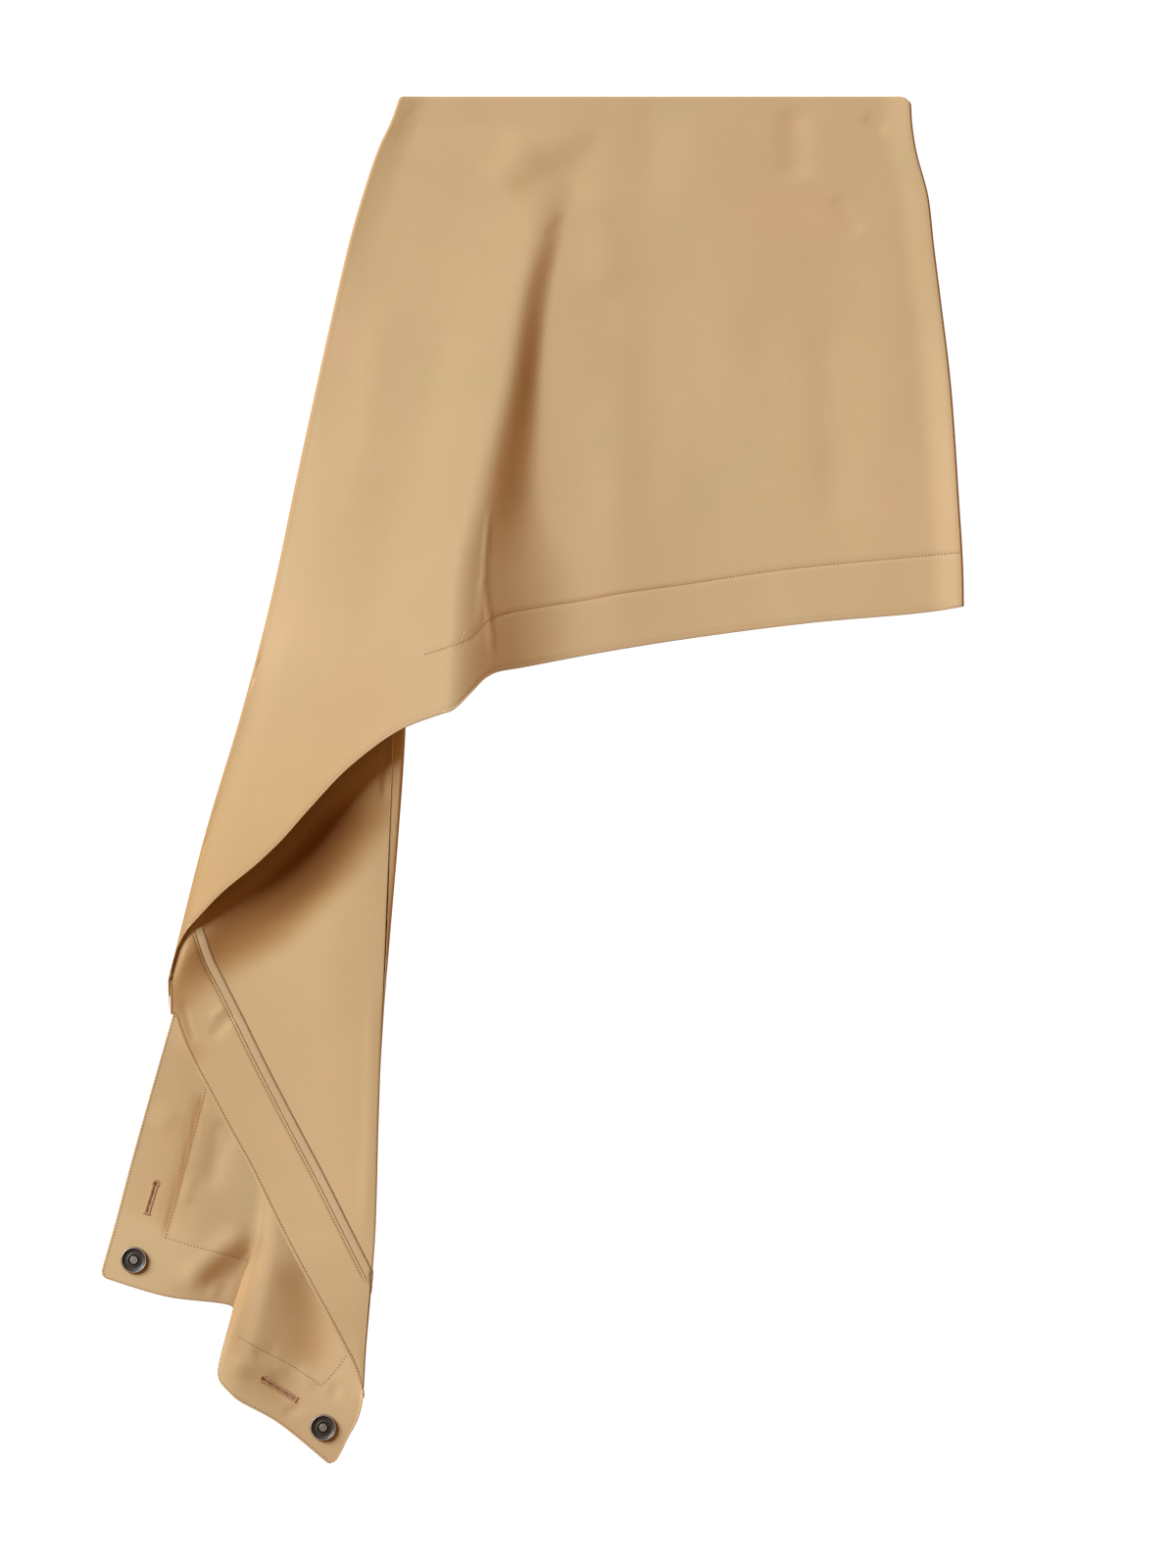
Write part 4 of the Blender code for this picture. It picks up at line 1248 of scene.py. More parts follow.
@dataclass
class TailUpper:
    """The tail's upper layer, wrong side up, from the hidden seam to its tip.

    The painted shadow inside the mouth is at its depth up to the distance "full" below the
    front's edge, and has gone at "gone".
    """

    outline: Outline
    back: BackPanel
    reach: float = 36.0
    hollow: float = 1.5       # how much the layer sags between its sides
    pressed: float = 0.05     # width of its right fold's rounding, as a share of a full one
    fold: Table = Table(
        "down upper outer bottom crease top round curl",
        (396.5, -99, -90.5, 0.35, 3, 5.2, 2.6, 90),
        (465, -101, -92.5, 0.35, 10.7, 11.2, 7, 90),
        (540.5, -104, -97.5, 0.35, 10.9, 11.4, 7, 90),
        (612.5, -107, -103.5, 0.35, 10.5, 11, 7, 90),
        (684.5, -109.8, -109.2, 0.35, 9.8, 10.4, 6.5, 90),
        (756.5, -112.3, -112.7, 0.35, 7.4, 10.2, 6, 90),
        (828.5, -114.3, -114.8, 1.20, 7.4, 10.8, 5.5, 90),
        (882.5, -118.2, -118.7, 2.70, 7.6, 12, 5, 90),
        (918.5, -121.3, -121.7, 3.80, 7.6, 11.2, 4, 90),
        (957.5, -124, -124, 4, 6.4, 8.2, 3, 85),
        (970, -127, -127, 3.60, 6, 8, 3, 60),
        (985, -134.5, -134.5, 2.40, 4.8, 8, 3, 40),
        (1001.5, -143, -143, 1.20, 3.6, 8, 3, 25),
        (1005.5, -146.5, -146.5, 1, 3.4, 8, 3, 20),
    )
    edge: Table = Table(
        "down x height",
        (674, -262, 2.35), (684.5, -259, 2.55), (708.5, -249, 2.9), (732, -236.5, 3.3),
        (756.5, -223.5, 3.8), (787, -206.5, 5), (828.5, -186, 8), (858, -170.5, 10.5),
        (890.5, -152.5, 11.5), (919.5, -137, 10.6), (934, -129.5, 9.6), (948, -124.7, 8.4),
        (957.5, -123.5, 7),
    )
    swell: Oval = Oval(-252, 622, 20, 26, 2.2)
    creases: Forms = (
        Crease(((-107, 470), (-108.5, 520)), 2.6, -1.3),
        Crease(((-116, 640), (-119, 760), (-124, 850)), 5, 0.4),
        Crease(((-140, 560), (-150, 700)), 18, 0.5),
    )
    waves: Waves = Waves(55, 0.4, 5.5)
    # depth of the painted shadow inside the mouth, and where it is full and gone, by level
    mouth: Table = Table(
        "down depth full gone",
        (480, 0.05, 14, 36), (505, 0.20, 16, 40), (541, 0.68, 28, 53), (577, 0.68, 34, 65),
        (613, 0.58, 24, 68), (649, 0.32, 22, 56), (690, 0, 20, 50),
    )
    columns: Columns = (("left_arc", 9), ("flat", 104), ("right_arc", 14))
    near_edge: tuple[float, ...] = (7.0, 5.2, 4.2, 3.4, 2.4, 1.4, 0.6, 0.0)
    rows: int = 190
    search: tuple[float, float] = (360.0, 430.0)   # levels above and below its hidden seam
    across_light: float = 0.7   # distance from the front's edge for a step straight down, for the painted shadow
    lit: float = 0.75         # how strong the painted light is on the strip along the front's edge, low in the mouth

    def edge_level(self, x: Any) -> Array:
        """Level of the layer's edge at each x."""
        return self.edge("down", x, over="x")

    def rounding(self, down: Any) -> Array:
        """Width of the right fold's rounding."""
        return self.pressed * self.fold("round", down)

    def top_x(self, down: Any) -> Array:
        """Where the right fold starts to turn down."""
        return self.fold("upper", down) - HALF - self.rounding(down)

    def height(self, x: Any, down: Any) -> Array:
        """Height of the layer between its left side and the top of its fold."""
        top_x = self.top_x(down)
        above_turn = down < self.edge.ends("down")[0]
        arc_x, arc_z = self.outline.lower_arc(down)
        left = np.where(above_turn, arc_x, self.edge("x", down))
        low = np.where(above_turn, arc_z, self.edge("height", down))
        share = ease((x - left) / np.maximum(top_x - left, 1.0))
        folded = mix(low, self.fold("top", down), share ** self.hollow)
        flat = HALF + self.back.seam_rise(x, down)
        return mix(flat, folded, ease((down - self.back.seam_level(x)) / self.reach))

    def place(self, column: Array, down: Array) -> tuple[Array, Array]:
        """Work out places on the layer.

        Args:
            column: -1 to 0 on the left fold, 0 to 1 across, 1 to 2 round the right fold.
            down: their levels.

        Returns:
            Their x and height.
        """
        line = self.outline
        top_x = self.top_x(down)
        x = mix(line.lower_arc(down)[0], top_x, np.clip(column, 0.0, 1.0))
        start = line.left(down)
        height = self.height(x, down)
        height = height + relief(self.creases, x, down) * ease((x - start - 8.0) / 30.0)
        height = height + self.swell.at(x, down) * ease((x - start - 2.0) / 7.0)
        angle = np.pi / 2 * (2 - np.clip(column, 1.0, 2.0))
        crease, top = self.fold("crease", down), self.fold("top", down)
        arcs = ((top_x + self.rounding(down) * np.cos(angle), crease + (top - crease) * np.sin(angle)),
                line.lower_arc(down, np.clip(column + 1, 0.0, 1.0)))
        return beside([column > 1.0, column < 0.0], arcs, x, height)

    def shade(self, x: Array, down: Array) -> Array:
        """Painted shadow inside the mouth, deepest a little way in from the front's edge, and painted
        light on the strip along that edge low in the mouth.
        """
        below = self.across_light * (down - self.back.front.hem_level(x))
        depth, full, gone = (self.mouth(name, np.clip(down, *self.mouth.ends("down")))
                             for name in ("depth", "full", "gone"))
        near = 0.25 + 0.75 * ramp(below, 6.0, 20.0)
        deep = depth * near * ramp(below, gone, full)
        lit = self.lit * ramp(down, 590.0, 615.0) * ramp(below, 4.5, 0.5) * ramp(down, 660.0, 645.0)
        return (lit - deep) * (below > 0.0)

    def column_of(self, x: Array, down: Array) -> Array:
        """Column of places given by x, as place takes it."""
        start = self.outline.lower_arc(down)[0]
        top_x = self.top_x(down)
        over = np.clip((x - top_x) / self.rounding(down), 0.0, 1.0)
        return np.where(x > top_x, 2 - np.arccos(over) / (np.pi / 2), (x - start) / (top_x - start))

    def build(self, wardrobe: Wardrobe) -> Sheet:
        """Make the layer as a thin shell."""
        line = self.outline
        parts, share = shares(self.columns)
        kinds = [parts == "left_arc", parts == "right_arc"]
        column = share + np.select(kinds, [-1.0, 1.0], 0.0)
        first, tip = self.edge.ends("down")

        def reach(down: Array) -> Array:
            """Find each column's x at some levels."""
            return self.place(column, down)[0]

        end = meet(reach, self.edge_level, first - line.turn_below, tip, len(column))
        corner = end[np.flatnonzero(parts == "flat")[-1]]
        ends = [line.turn_down + line.turn_below * share, mix(corner, tip, share)]
        end = np.select(kinds, ends, end)
        start = meet(reach, self.back.seam_level, *self.search, len(column))
        column, down = np.broadcast_arrays(column, rows_down(start, end, self.rows, self.near_edge))
        x, height = self.place(column, down)
        inside = ease((column - 0.02) / 0.15) * ease((1.0 - column) / 0.1)
        height = np.maximum(height + inside * self.waves.at(x, down), HALF)
        # painted mouth shadow, and painted light on the right fold
        painted_shading = self.shade(x, down) + ease((column - 1.0) / 0.15)
        sheet = Sheet("tail_upper_cloth", to_scene(x, down, height), painted_shading=painted_shading)
        return sheet.dress(wardrobe.wrong, wardrobe.right)


# ---------------------------------------------------------------- tail, under layer

def under_line(*rows: Sequence[float]) -> Table:
    """Make the table of a line along the under layer, by station from its hidden top."""
    return Table("station x down height", *rows)


class Corner(NamedTuple):
    """A corner of the under layer, with a place on each of the edges that meet there."""

    tip: Place
    one: Place
    other: Place
    radius: float

    def rounded(self, place: Array) -> Array:
        """Draw places in by the corner, so that it is round."""
        tip = np.array(self.tip)
        one, other = unit(np.array(self.one) - tip), unit(np.array(self.other) - tip)
        half = np.arccos(one @ other) / 2
        centre = tip + unit(one + other) * self.radius / np.sin(half)
        foot = tip + np.stack((one, other)) * self.radius / np.tan(half)
        way = unit(place - centre)
        most = (way @ unit(foot - centre).T).max(axis=-1, keepdims=True)
        inside = (way @ -unit(one + other) > np.sin(half))[..., None]
        return np.where(inside, centre + (place - centre) * most, place)


@dataclass
class TailUnder:
    """The tail's under layer, right side up, with the lobe of the right fold."""

    upper: TailUpper
    sink: float = 0.4
    lobe_full: float = 8.5
    last_lobe: float = 0.93
    pressed: float = 0.68     # 1 for a round fold, less for a squarer one
    lines: tuple[Table, ...] = (
        under_line(
            (0, -201, 462, 0.75), (0.2, -225, 541, 0.75), (0.4, -248, 621, 0.75),
            (0.6, -271, 700, 0.75), (0.8, -295, 785, 0.75), (0.9, -305, 823, 0.75),
            (1, -317.5, 867, 0.75),
        ),
        under_line(
            (0, -180, 451, 0.75), (0.4, -220.5, 625, 0.75), (0.6, -233, 720, 1.2),
            (0.8, -244, 812, 3.4), (0.9, -252, 845, 5), (1, -268, 881.5, 4.4),
        ),
        under_line(
            (0, -158, 438.5, 0.75), (0.4, -190.5, 630.5, 0.75), (0.8, -205, 830, 1),
            (0.9, -211, 861, 0.75), (1, -219.5, 890, 0.75),
        ),
        under_line(
            (0, -152.5, 435.5, 0.75), (0.4, -184, 632, 0.75), (0.8, -198, 834, 1.8),
            (0.9, -213, 885, 3.6), (1, -230.7, 937, 4.2),
        ),
        under_line(
            (0, -147.5, 433, 0.75), (0.4, -177, 633, 0.75), (0.8, -188, 840, 3),
            (0.9, -200, 894, 6), (1, -220, 954, 6),
        ),
        under_line(
            (0, -133, 425, 0.75), (0.4, -158, 636.5, 0.75), (0.7, -162, 775, 0.75),
            (0.8, -160, 857, 0.75), (0.9, -166, 916, 0.9), (1, -188, 973, 3.6),
        ),
    )
    side: Table = Table(
        "station down",
        (0, 404), (0.4, 645), (0.6, 765), (0.8, 884), (0.9, 945), (1, 1005.5),
    )
    corners: tuple[Corner, ...] = (
        Corner((-317.5, 867), (-305, 823), (-268, 881.5), 6),
        Corner((-146.8, 1005.5), (-134.8, 985), (-188, 973), 4),
    )
    forms: Forms = (
        Crease(((-243.5, 729), (-255.5, 775), (-265.5, 812), (-273, 836)), 3, -0.5, 0.2),
        Crease(((-224, 748), (-231, 776), (-239, 806)), 8, -1.2),
        Crease(((-248, 790), (-256, 815)), 3, 0.5),
        Crease(((-206, 832), (-222, 842), (-242, 860), (-258, 878)), 9, 1.9),
        Crease(((-198, 849), (-214, 860), (-236, 880)), 7, -0.6),
        Crease(((-224, 930), (-204, 934), (-186, 946)), 6, 0.9),
        Crease(((-170, 934), (-160, 950)), 4, 0.5),
        Crease(((-262, 742), (-276, 760)), 9, 0.6),
        Crease(((-183, 969), (-167, 961)), 2.6, -0.7),
        Crease(((-190, 932), (-179, 938)), 2.2, 0.5),
        Crease(((-143, 944), (-145, 959)), 4, -0.8),
        Crease(((-205, 925), (-186, 920)), 6, -0.5),
        Crease(((-236, 884), (-228, 868)), 2.6, 0.6),
        Waves(30, 0.35, 1.7),
    )
    # painted shade in and beside the creases
    wear_and_painted_shade: Forms = (
        Crease(((-242, 730), (-253, 774), (-263, 811), (-271, 838)), 2.2, 0.27, 0.2),
        Crease(((-206, 845), (-224, 857), (-246, 874)), 8, 0.12),
        Crease(((-184, 846), (-172, 875), (-165, 905), (-170, 942)), 14, 0.19),
        Crease(((-199, 824), (-208, 865), (-216, 900), (-224, 935)), 8, 0.13),
        Crease(((-240, 690), (-264, 780), (-278, 835)), 30, 0.06, 0.3),
        Crease(((-236, 930), (-200, 938), (-172, 962)), 12, 0.07),
    )
    groove_lines: tuple[tuple[Place, ...], ...] = (
        ((-239.4, 729.4), (-250.9, 773.3), (-261, 810.7), (-268.9, 838.1)),
        ((-268.9, 838.1), (-250.2, 843.8), (-226.4, 850.3), (-209.9, 854.6)),
        ((-214.2, 911.5), (-196.2, 921.6), (-179.6, 930.2), (-165.2, 939.6), (-154.4, 946.8)),
        ((-154.4, 946.8), (-143.6, 935.3), (-136.4, 925.2)),
    )
    groove_width: float = 1.2
    groove_depth: float = 0.25
    rows: int = 200
    crowding: float = 0.72    # below 1, its rows lie closer towards the lower end
    place_columns: int = 108
    lobe_columns: int = 14

    def lobe(self, down: Array) -> tuple[Array, Array, Array, Array]:
        """Fullness, radius, closing angle and end height of the lobe at some levels."""
        upper, outer, bottom, crease, curl = (
            self.upper.fold(name, down) for name in ("upper", "outer", "bottom", "crease", "curl"))
        full = np.clip((outer - upper) / self.lobe_full, 0.0, 1.0)
        rise = crease - bottom
        return full, mix(rise, rise / 2, full), np.radians(mix(curl, 170.0, full)), crease - HALF * full

    def bulge(self, turn: Array) -> Array:
        """How far out the pressed fold is at an angle, as a share of its radius."""
        return np.abs(np.sin(turn)) ** self.pressed

    def climbed(self, turn: Array) -> Array:
        """How high the pressed fold is at an angle, as a share of its radius."""
        return 1 - np.sign(np.cos(turn)) * np.abs(np.cos(turn)) ** self.pressed

    def side_at(self, station: Array) -> tuple[Array, Array, Array]:
        """x, level and height where the layer meets the foot of the right fold."""
        down = self.side("down", station)
        _, radius, angle, _ = self.lobe(down)
        fold = self.upper.fold
        x = fold("outer", down) - HALF - radius * self.bulge(np.minimum(angle, np.pi / 2))
        return x, down, fold("bottom", down)

    def across(self, place: Array, station: Array) -> tuple[Array, ...]:
        """x, level and height on the layer: 0 is its outer edge and 6 the foot of the fold."""
        keys = [(line("x", station), line("down", station), line("height", station) - self.sink)
                for line in self.lines]
        keys.append(self.side_at(station))
        return tuple(smooth(range(len(keys)), values, place) for values in zip(*keys))

    def round_lobe(self, share: Array, station: Array) -> tuple[Array, Array, Array]:
        """x, level and height round the lobe, from the layer's foot towards the crease."""
        reach, down, bottom = self.side_at(station)
        full, radius, angle, end_z = self.lobe(down)
        turn = angle * np.minimum(share / self.last_lobe, 1.0) * self.last_lobe
        covered = down < self.upper.edge.ends("down")[1]
        climb = np.where(covered, (end_z - bottom) / self.climbed(angle), radius)
        last = ease((share - self.last_lobe) / (1 - self.last_lobe))
        closed_x = mix(reach + radius * self.bulge(angle), self.upper.fold("upper", down) - 2 * HALF, full)
        closed_z = bottom + climb * self.climbed(angle)
        return (mix(reach + radius * self.bulge(turn), closed_x, last), down,
                mix(bottom + climb * self.climbed(turn), closed_z, last))

    def grid(self) -> tuple[Array, Array, Array]:
        """Lay out the layer.

        Returns:
            x, level and height of every grid point, with its creases.
        """
        places = np.linspace(0.0, 6.0, self.place_columns)
        places = np.concatenate(([0.0, 0.012, 0.03], places[1:]))
        round_it = np.linspace(0.0, 1.0, self.lobe_columns)[1:]
        stations = np.linspace(0.0, 1.0, self.rows) ** self.crowding
        stations = np.concatenate((stations[:-1], [0.9975, 0.999, 1.0]))
        flat = np.broadcast_arrays(places, stations[:, None])
        lobe = np.broadcast_arrays(round_it, stations[:, None])
        x, down, height = (np.concatenate(pair, axis=1)
                           for pair in zip(self.across(*flat), self.round_lobe(*lobe)))
        x, down = self.rounded(x, down)
        grooves = (Crease(line, self.groove_width, -self.groove_depth, 0.0) for line in self.groove_lines)
        fading = np.concatenate((ease((6.0 - places) / 0.5), np.zeros(len(round_it))))
        detail = relief((*self.forms, *grooves), x, down) * fading * ramp(stations[:, None], 0.45, 0.65)
        return x, down, np.maximum(height + detail, HALF)

    def rounded(self, x: Array, down: Array) -> tuple[Array, Array]:
        """Draw places in by the two sharp corners."""
        place = np.stack((x, down), axis=-1)
        for corner in self.corners:
            place = corner.rounded(place)
        return place[..., 0], place[..., 1]

    def build(self, wardrobe: Wardrobe) -> Sheet:
        """Make the layer as a thin shell, with painted shade by its creases and painted light on the lobe.
        """
        x, down, height = self.grid()
        # painted light on the lobe beyond the upper layer's edge, stronger lower down
        beyond = ease((x - self.upper.fold("upper", down)) / 3.0)
        pale = 0.5 + 0.5 * ramp(down, 500.0, 590.0)
        painted_shading = beyond * pale - relief(self.wear_and_painted_shade, x, down)
        sheet = Sheet("tail_under_cloth", to_scene(x, down, height), edges=Edges(left=True), painted_shading=painted_shading)
        return sheet.dress(wardrobe.right, wardrobe.wrong)


# ---------------------------------------------------------------- band and tape

@dataclass
class HemBand:
    """The band stitched on the tail's wrong side and the tape round its inner edge."""

    upper: TailUpper
    thickness: float = 0.7
    stand: float = 0.06
    tape_thickness: float = 0.5
    tape_width: float = 5.6
    tape_slant: float = 3.0
    tape_end: float = 6.0     # how far the tape runs on past its line
    edge_stitch: float = 2.0  # distance of the stitches from the band's outer edge
    inner_stitch: float = 2.0   # and from its inner edge
    inner_end: float = 9.1    # station where the inner stitches reach the right fold
    puff: float = 0.16        # how much the band swells between its stitches
    groove_depth: float = 0.22
    groove_width: float = 0.4   # as a share of the stitches' distance from the edge
    groove_painted_shade: float = 0.10   # how much painted shade darkens the cloth along the stitches
    crown: float = 0.12       # how much the tape swells between its seams
    seam_painted_shadow: tuple[float, float] = (0.40, 0.75)   # how dark the painted shadow lines along its two edges are
    levels: Table = Table(
        "station outer inner",
        (0, 626, 614), (1, 655, 638), (2, 684.5, 664), (3, 708.5, 689), (4, 732, 712),
        (5, 756.5, 737), (6, 787, 768), (7, 828.5, 811), (8, 858, 842), (9, 884, 868),
        (10, 906, 893), (11, 930, 922), (12, 956, 953),
    )
    tape_line: Table = Table(
        "down x",
        (606, -249.5), (635, -240), (651, -232), (680.5, -217), (713, -201), (754.5, -179.5),
        (798, -156.5), (834, -138.5), (873.5, -118.5),
    )
    creases: Forms = (
        Crease(((-256.5, 662), (-252, 680), (-246.5, 697)), 2.4, -0.55),
        Crease(((-217, 673), (-227, 682), (-236, 693)), 4.5, -0.6),
        Crease(((-225, 668), (-236, 678)), 3, 0.45),
    )
    # painted shade on the band near its outer edge
    wear_and_painted_shade: Crease = Crease(((-258, 652), (-254, 690), (-243, 716)), 9, 0.10)
    rows: int = 230
    columns: int = 16

    def spans(self, station: Array) -> tuple[Array, Array, Array, Array]:
        """Column and level of the band's outer and inner edges at some stations."""
        upper = self.upper
        low, high = self.levels("outer", station), self.levels("inner", station)
        on_edge = low > upper.edge.ends("down")[0]
        arc_x = upper.outline.lower_arc(low)[0] + 0.6
        outer = upper.column_of(np.where(on_edge, upper.edge("x", low) + 0.15, arc_x), low)
        inner = upper.column_of(self.tape_line("x", high), high)
        widest = 0.998            # the band stays on the flat part of the layer
        turned = ease((high - self.tape_line.ends("down")[1] + self.tape_end) / 8.0)
        return outer, low, np.minimum(mix(inner, widest, turned), widest), high

    def stitched(self, station: Array) -> tuple[Array, Array]:
        """Shares of the band's width at which its two lines of stitches run."""
        outer, low, inner, high = self.spans(station)
        start, end = self.upper.outline.lower_arc(low)[0], self.upper.top_x(low)
        width = np.maximum(np.hypot((inner - outer) * (end - start), low - high), 5.0)
        return self.edge_stitch / width, 1.0 - self.inner_stitch / width

    def surface(self, station: Array, share: Array, lift: float) -> tuple[Array, Array]:
        """Places on the band.

        Args:
            station: along the band.
            share: 0 at its outer edge, 1 at its inner one, more than 1 beyond it.
            lift: distance from the upper layer's middle, in mm.

        Returns:
            The points in metres and the unit normals there.
        """
        outer, low, inner, high = self.spans(station)
        return self.stood_off(mix(outer, inner, share), mix(low, high, share), lift)

    def stood_off(self, column: Array, down: Array, lift: float) -> tuple[Array, Array]:
        """Points that stand off the upper layer along its normal, and the normals."""
        def point(shift: float, drop: float) -> Array:
            """Find the point at a small step from each place."""
            at, level = np.clip(column + shift, 0.0, 2.0), down + drop
            x, height = self.upper.place(at, level)
            return to_scene(x, level, height + relief(self.creases, x, level))

        column = np.clip(column, 0.0, 2.0)
        step, drop = 0.004, 0.8
        across = point(step, 0.0) - point(-step, 0.0)
        along_it = point(0.0, drop) - point(0.0, -drop)
        normal = unit(np.cross(along_it, across))
        return point(0.0, 0.0) + normal * lift * MM, normal

    def build(self, wardrobe: Wardrobe) -> Sheet:
        """Make the band."""
        station = np.linspace(*self.levels.ends("station"), self.rows)[:, None]
        share = np.concatenate((np.linspace(0.0, 0.12, 13), np.linspace(0.16, 0.86, self.columns),
                                np.linspace(0.89, 1.0, 11)))
        grid, _ = self.surface(station, share, HALF + self.stand + self.thickness / 2)
        edge, seam = self.stitched(station)
        puff = self.puff * np.sin(np.pi * np.clip((share - edge) / (seam - edge), 0.0, 1.0))
        outer, inner = (np.exp(-((share - line) / (self.groove_width * edge)) ** 2)
                        for line in (edge, seam))
        groove = outer + inner * ease((self.inner_end - station) / 0.3)
        x, down = grid[..., 0] / MM, LENGTH / 2 - grid[..., 1] / MM
        # painted mouth shadow, and painted shade along the stitches
        painted_shading = self.upper.shade(x, down) - self.groove_painted_shade * np.minimum(groove, 1.0)
        half = self.thickness / 2
        sheet = Sheet("hem_band", grid, half + puff - self.groove_depth * groove, half, ALL_ROUND,
                      painted_shading - self.wear_and_painted_shade.at(x, down))
        return sheet.dress(wardrobe.wrong, wardrobe.wrong)

    def build_tape(self, wardrobe: Wardrobe) -> Sheet:
        """Make the tape."""
        start = self.levels.ends("inner")[0] - 2.0
        down = np.linspace(start, self.tape_line.ends("down")[1] + self.tape_end, 150)[:, None]
        share = np.array((0.0, 0.03, 0.09, 0.14, 0.35, 0.6, 0.80, 0.86, 0.92, 0.97, 1.0))
        level = down - self.tape_slant * share
        x = self.tape_line("x", down) + 0.25 + self.tape_width * share
        half = self.tape_thickness / 2
        points, _ = self.stood_off(self.upper.column_of(x, level), level, HALF + self.stand + half)
        body = ease((share - 0.08) / 0.08) * ease((0.92 - share) / 0.10)
        # painted shadow lines along the tape's two edges
        seam = (body - 1) * np.where(share < 0.5, *self.seam_painted_shadow)
        sheet = Sheet("hem_tape", points, half + self.crown * body, half, ALL_ROUND, seam)
        return sheet.dress(wardrobe.tape, wardrobe.tape)

    def stitch_lines(self) -> list[Laid]:
        """Points and normals of the two lines of stitches along the band."""
        lines = []
        for line, end in enumerate((self.levels.ends("station")[1] - 0.08, self.inner_end)):
            station = np.linspace(0.05, end, 420)
            laid = self.surface(station, self.stitched(station)[line], HALF + self.stand + self.thickness)
            lines.append(tuple([Vector(v) for v in vectors] for vectors in laid))
        return lines


# ---------------------------------------------------------------- snaps and buttonholes

Profile = list[tuple[float, float, int]]   # radius, height and finish, from the middle outwards


@dataclass
class RingSnap:
    """A ring snap: a dished rim and the post that stands in it."""

    name: str
    x: float
    down: float
    radius: float = 9.7
    height: float = 2.4
    hole: float = 3.95
    post_radius: float = 3.0
    post_height: float = 2.1
    standoff: float = 0.15
    seat: float = 8.0         # how far from its middle the snap rests on the cloth
    sharp: float = 55.0       # degrees from which an edge is kept sharp
    steps: int = 72

    def rim_profile(self) -> Profile:
        """Work out the rim's profile."""
        hole, radius, top = self.hole, self.radius, self.height
        return [
            (hole, 0.7, 2), (hole + 0.15, 1.25, 1), (hole + 0.55, 1.38, 1), (hole + 0.95, 1.1, 1),
            (hole + 1.6, 0.95, 1), (hole + 2.6, 1.05, 1), (radius - 1.9, 1.4, 1),
            (radius - 1.35, 1.85, 1), (radius - 1.1, top - 0.2, 1), (radius - 0.95, top - 0.06, 0),
            (radius - 0.7, top, 0), (radius - 0.4, top - 0.1, 0), (radius - 0.2, top - 0.3, 1),
            (radius, top - 0.9, 1), (radius, 0.5, 1), (radius - 0.5, 0.0, 1), (hole, 0.0, 1),
        ]

    def post_profile(self) -> Profile:
        """Work out the post's profile."""
        post, top = self.post_radius, self.post_height
        return [
            (0.0, top - 0.12, 0), (post * 0.60, top - 0.12, 0), (post * 0.68, top - 0.2, 0),
            (post * 0.76, top - 0.04, 0), (post * 0.88, top, 0), (post, top - 0.35, 0),
            (post, 0.42, 2), (self.hole - 0.1, 0.36, 2), (self.hole - 0.1, 0.0, 1), (0.0, 0.0, 1),
        ]

    def turned(self, name: str, profile: Profile, place: Matrix, finishes: Sequence[Material]) -> Object:
        """Turn a profile about the snap's axis.

        Args:
            name: the piece's name.
            profile: its profile, open where it starts on the axis.
            place: where the snap stands.
            finishes: the materials that the profile numbers.

        Returns:
            The piece.
        """
        angles = np.linspace(0.0, 2 * np.pi, self.steps, endpoint=False)
        points: list[Vector] = []
        rings: list[list[int]] = []
        for radius, height, _ in profile:
            around = angles if radius else angles[:1]
            first = len(points)
            points += [place @ (Vector((radius * np.cos(angle), radius * np.sin(angle), height)) * MM)
                       for angle in around]
            rings.append([first + j % len(around) for j in range(self.steps)])
        walls = list(zip(profile, profile[1:] + profile[:1], rings, rings[1:] + rings[:1]))
        if profile[0][0] == 0.0:
            walls.pop()
        faces: list[list[int]] = []
        kinds: list[int] = []
        for one, other, a, b in walls:
            for j in range(self.steps):
                k = (j + 1) % self.steps
                faces.append(list(dict.fromkeys((a[j], b[j], b[k], a[k]))))
                kinds.append(max(one[2], other[2]))
        mesh = make_mesh(name, [tuple(p) for p in points], faces, kinds, self.sharp)
        for finish in finishes:
            mesh.materials.append(finish)
        return hang(name, mesh)

    def build(self, ground: BVHTree, wardrobe: Wardrobe) -> tuple[Object, Object]:
        """Set the snap's ring and stud on the under layer."""
        ways = ((0, 0), (1, 0), (-1, 0), (0, 1), (0, -1))
        points, _ = lay_on(ground, [(self.x + a * self.seat, self.down + b * self.seat) for a, b in ways])
        normal = (points[1] - points[2]).cross(points[4] - points[3]).normalized()
        if normal.z < 0:
            normal.negate()
        seat = max((p - points[0]).dot(normal) for p in points)
        turn = Vector((0.0, 0.0, 1.0)).rotation_difference(normal).to_matrix().to_4x4()
        centre = points[0] + normal * (max(seat, 0.0) + self.standoff * MM)
        place = Matrix.Translation(centre) @ turn
        # finish 2, the ring round the foot of the post, is painted shade
        inside = (wardrobe.dish, wardrobe.gap)
        return (self.turned(f"{self.name}_ring", self.rim_profile(), place, (wardrobe.rim, *inside)),
                self.turned(f"{self.name}_stud", self.post_profile(), place, (wardrobe.post, *inside)))


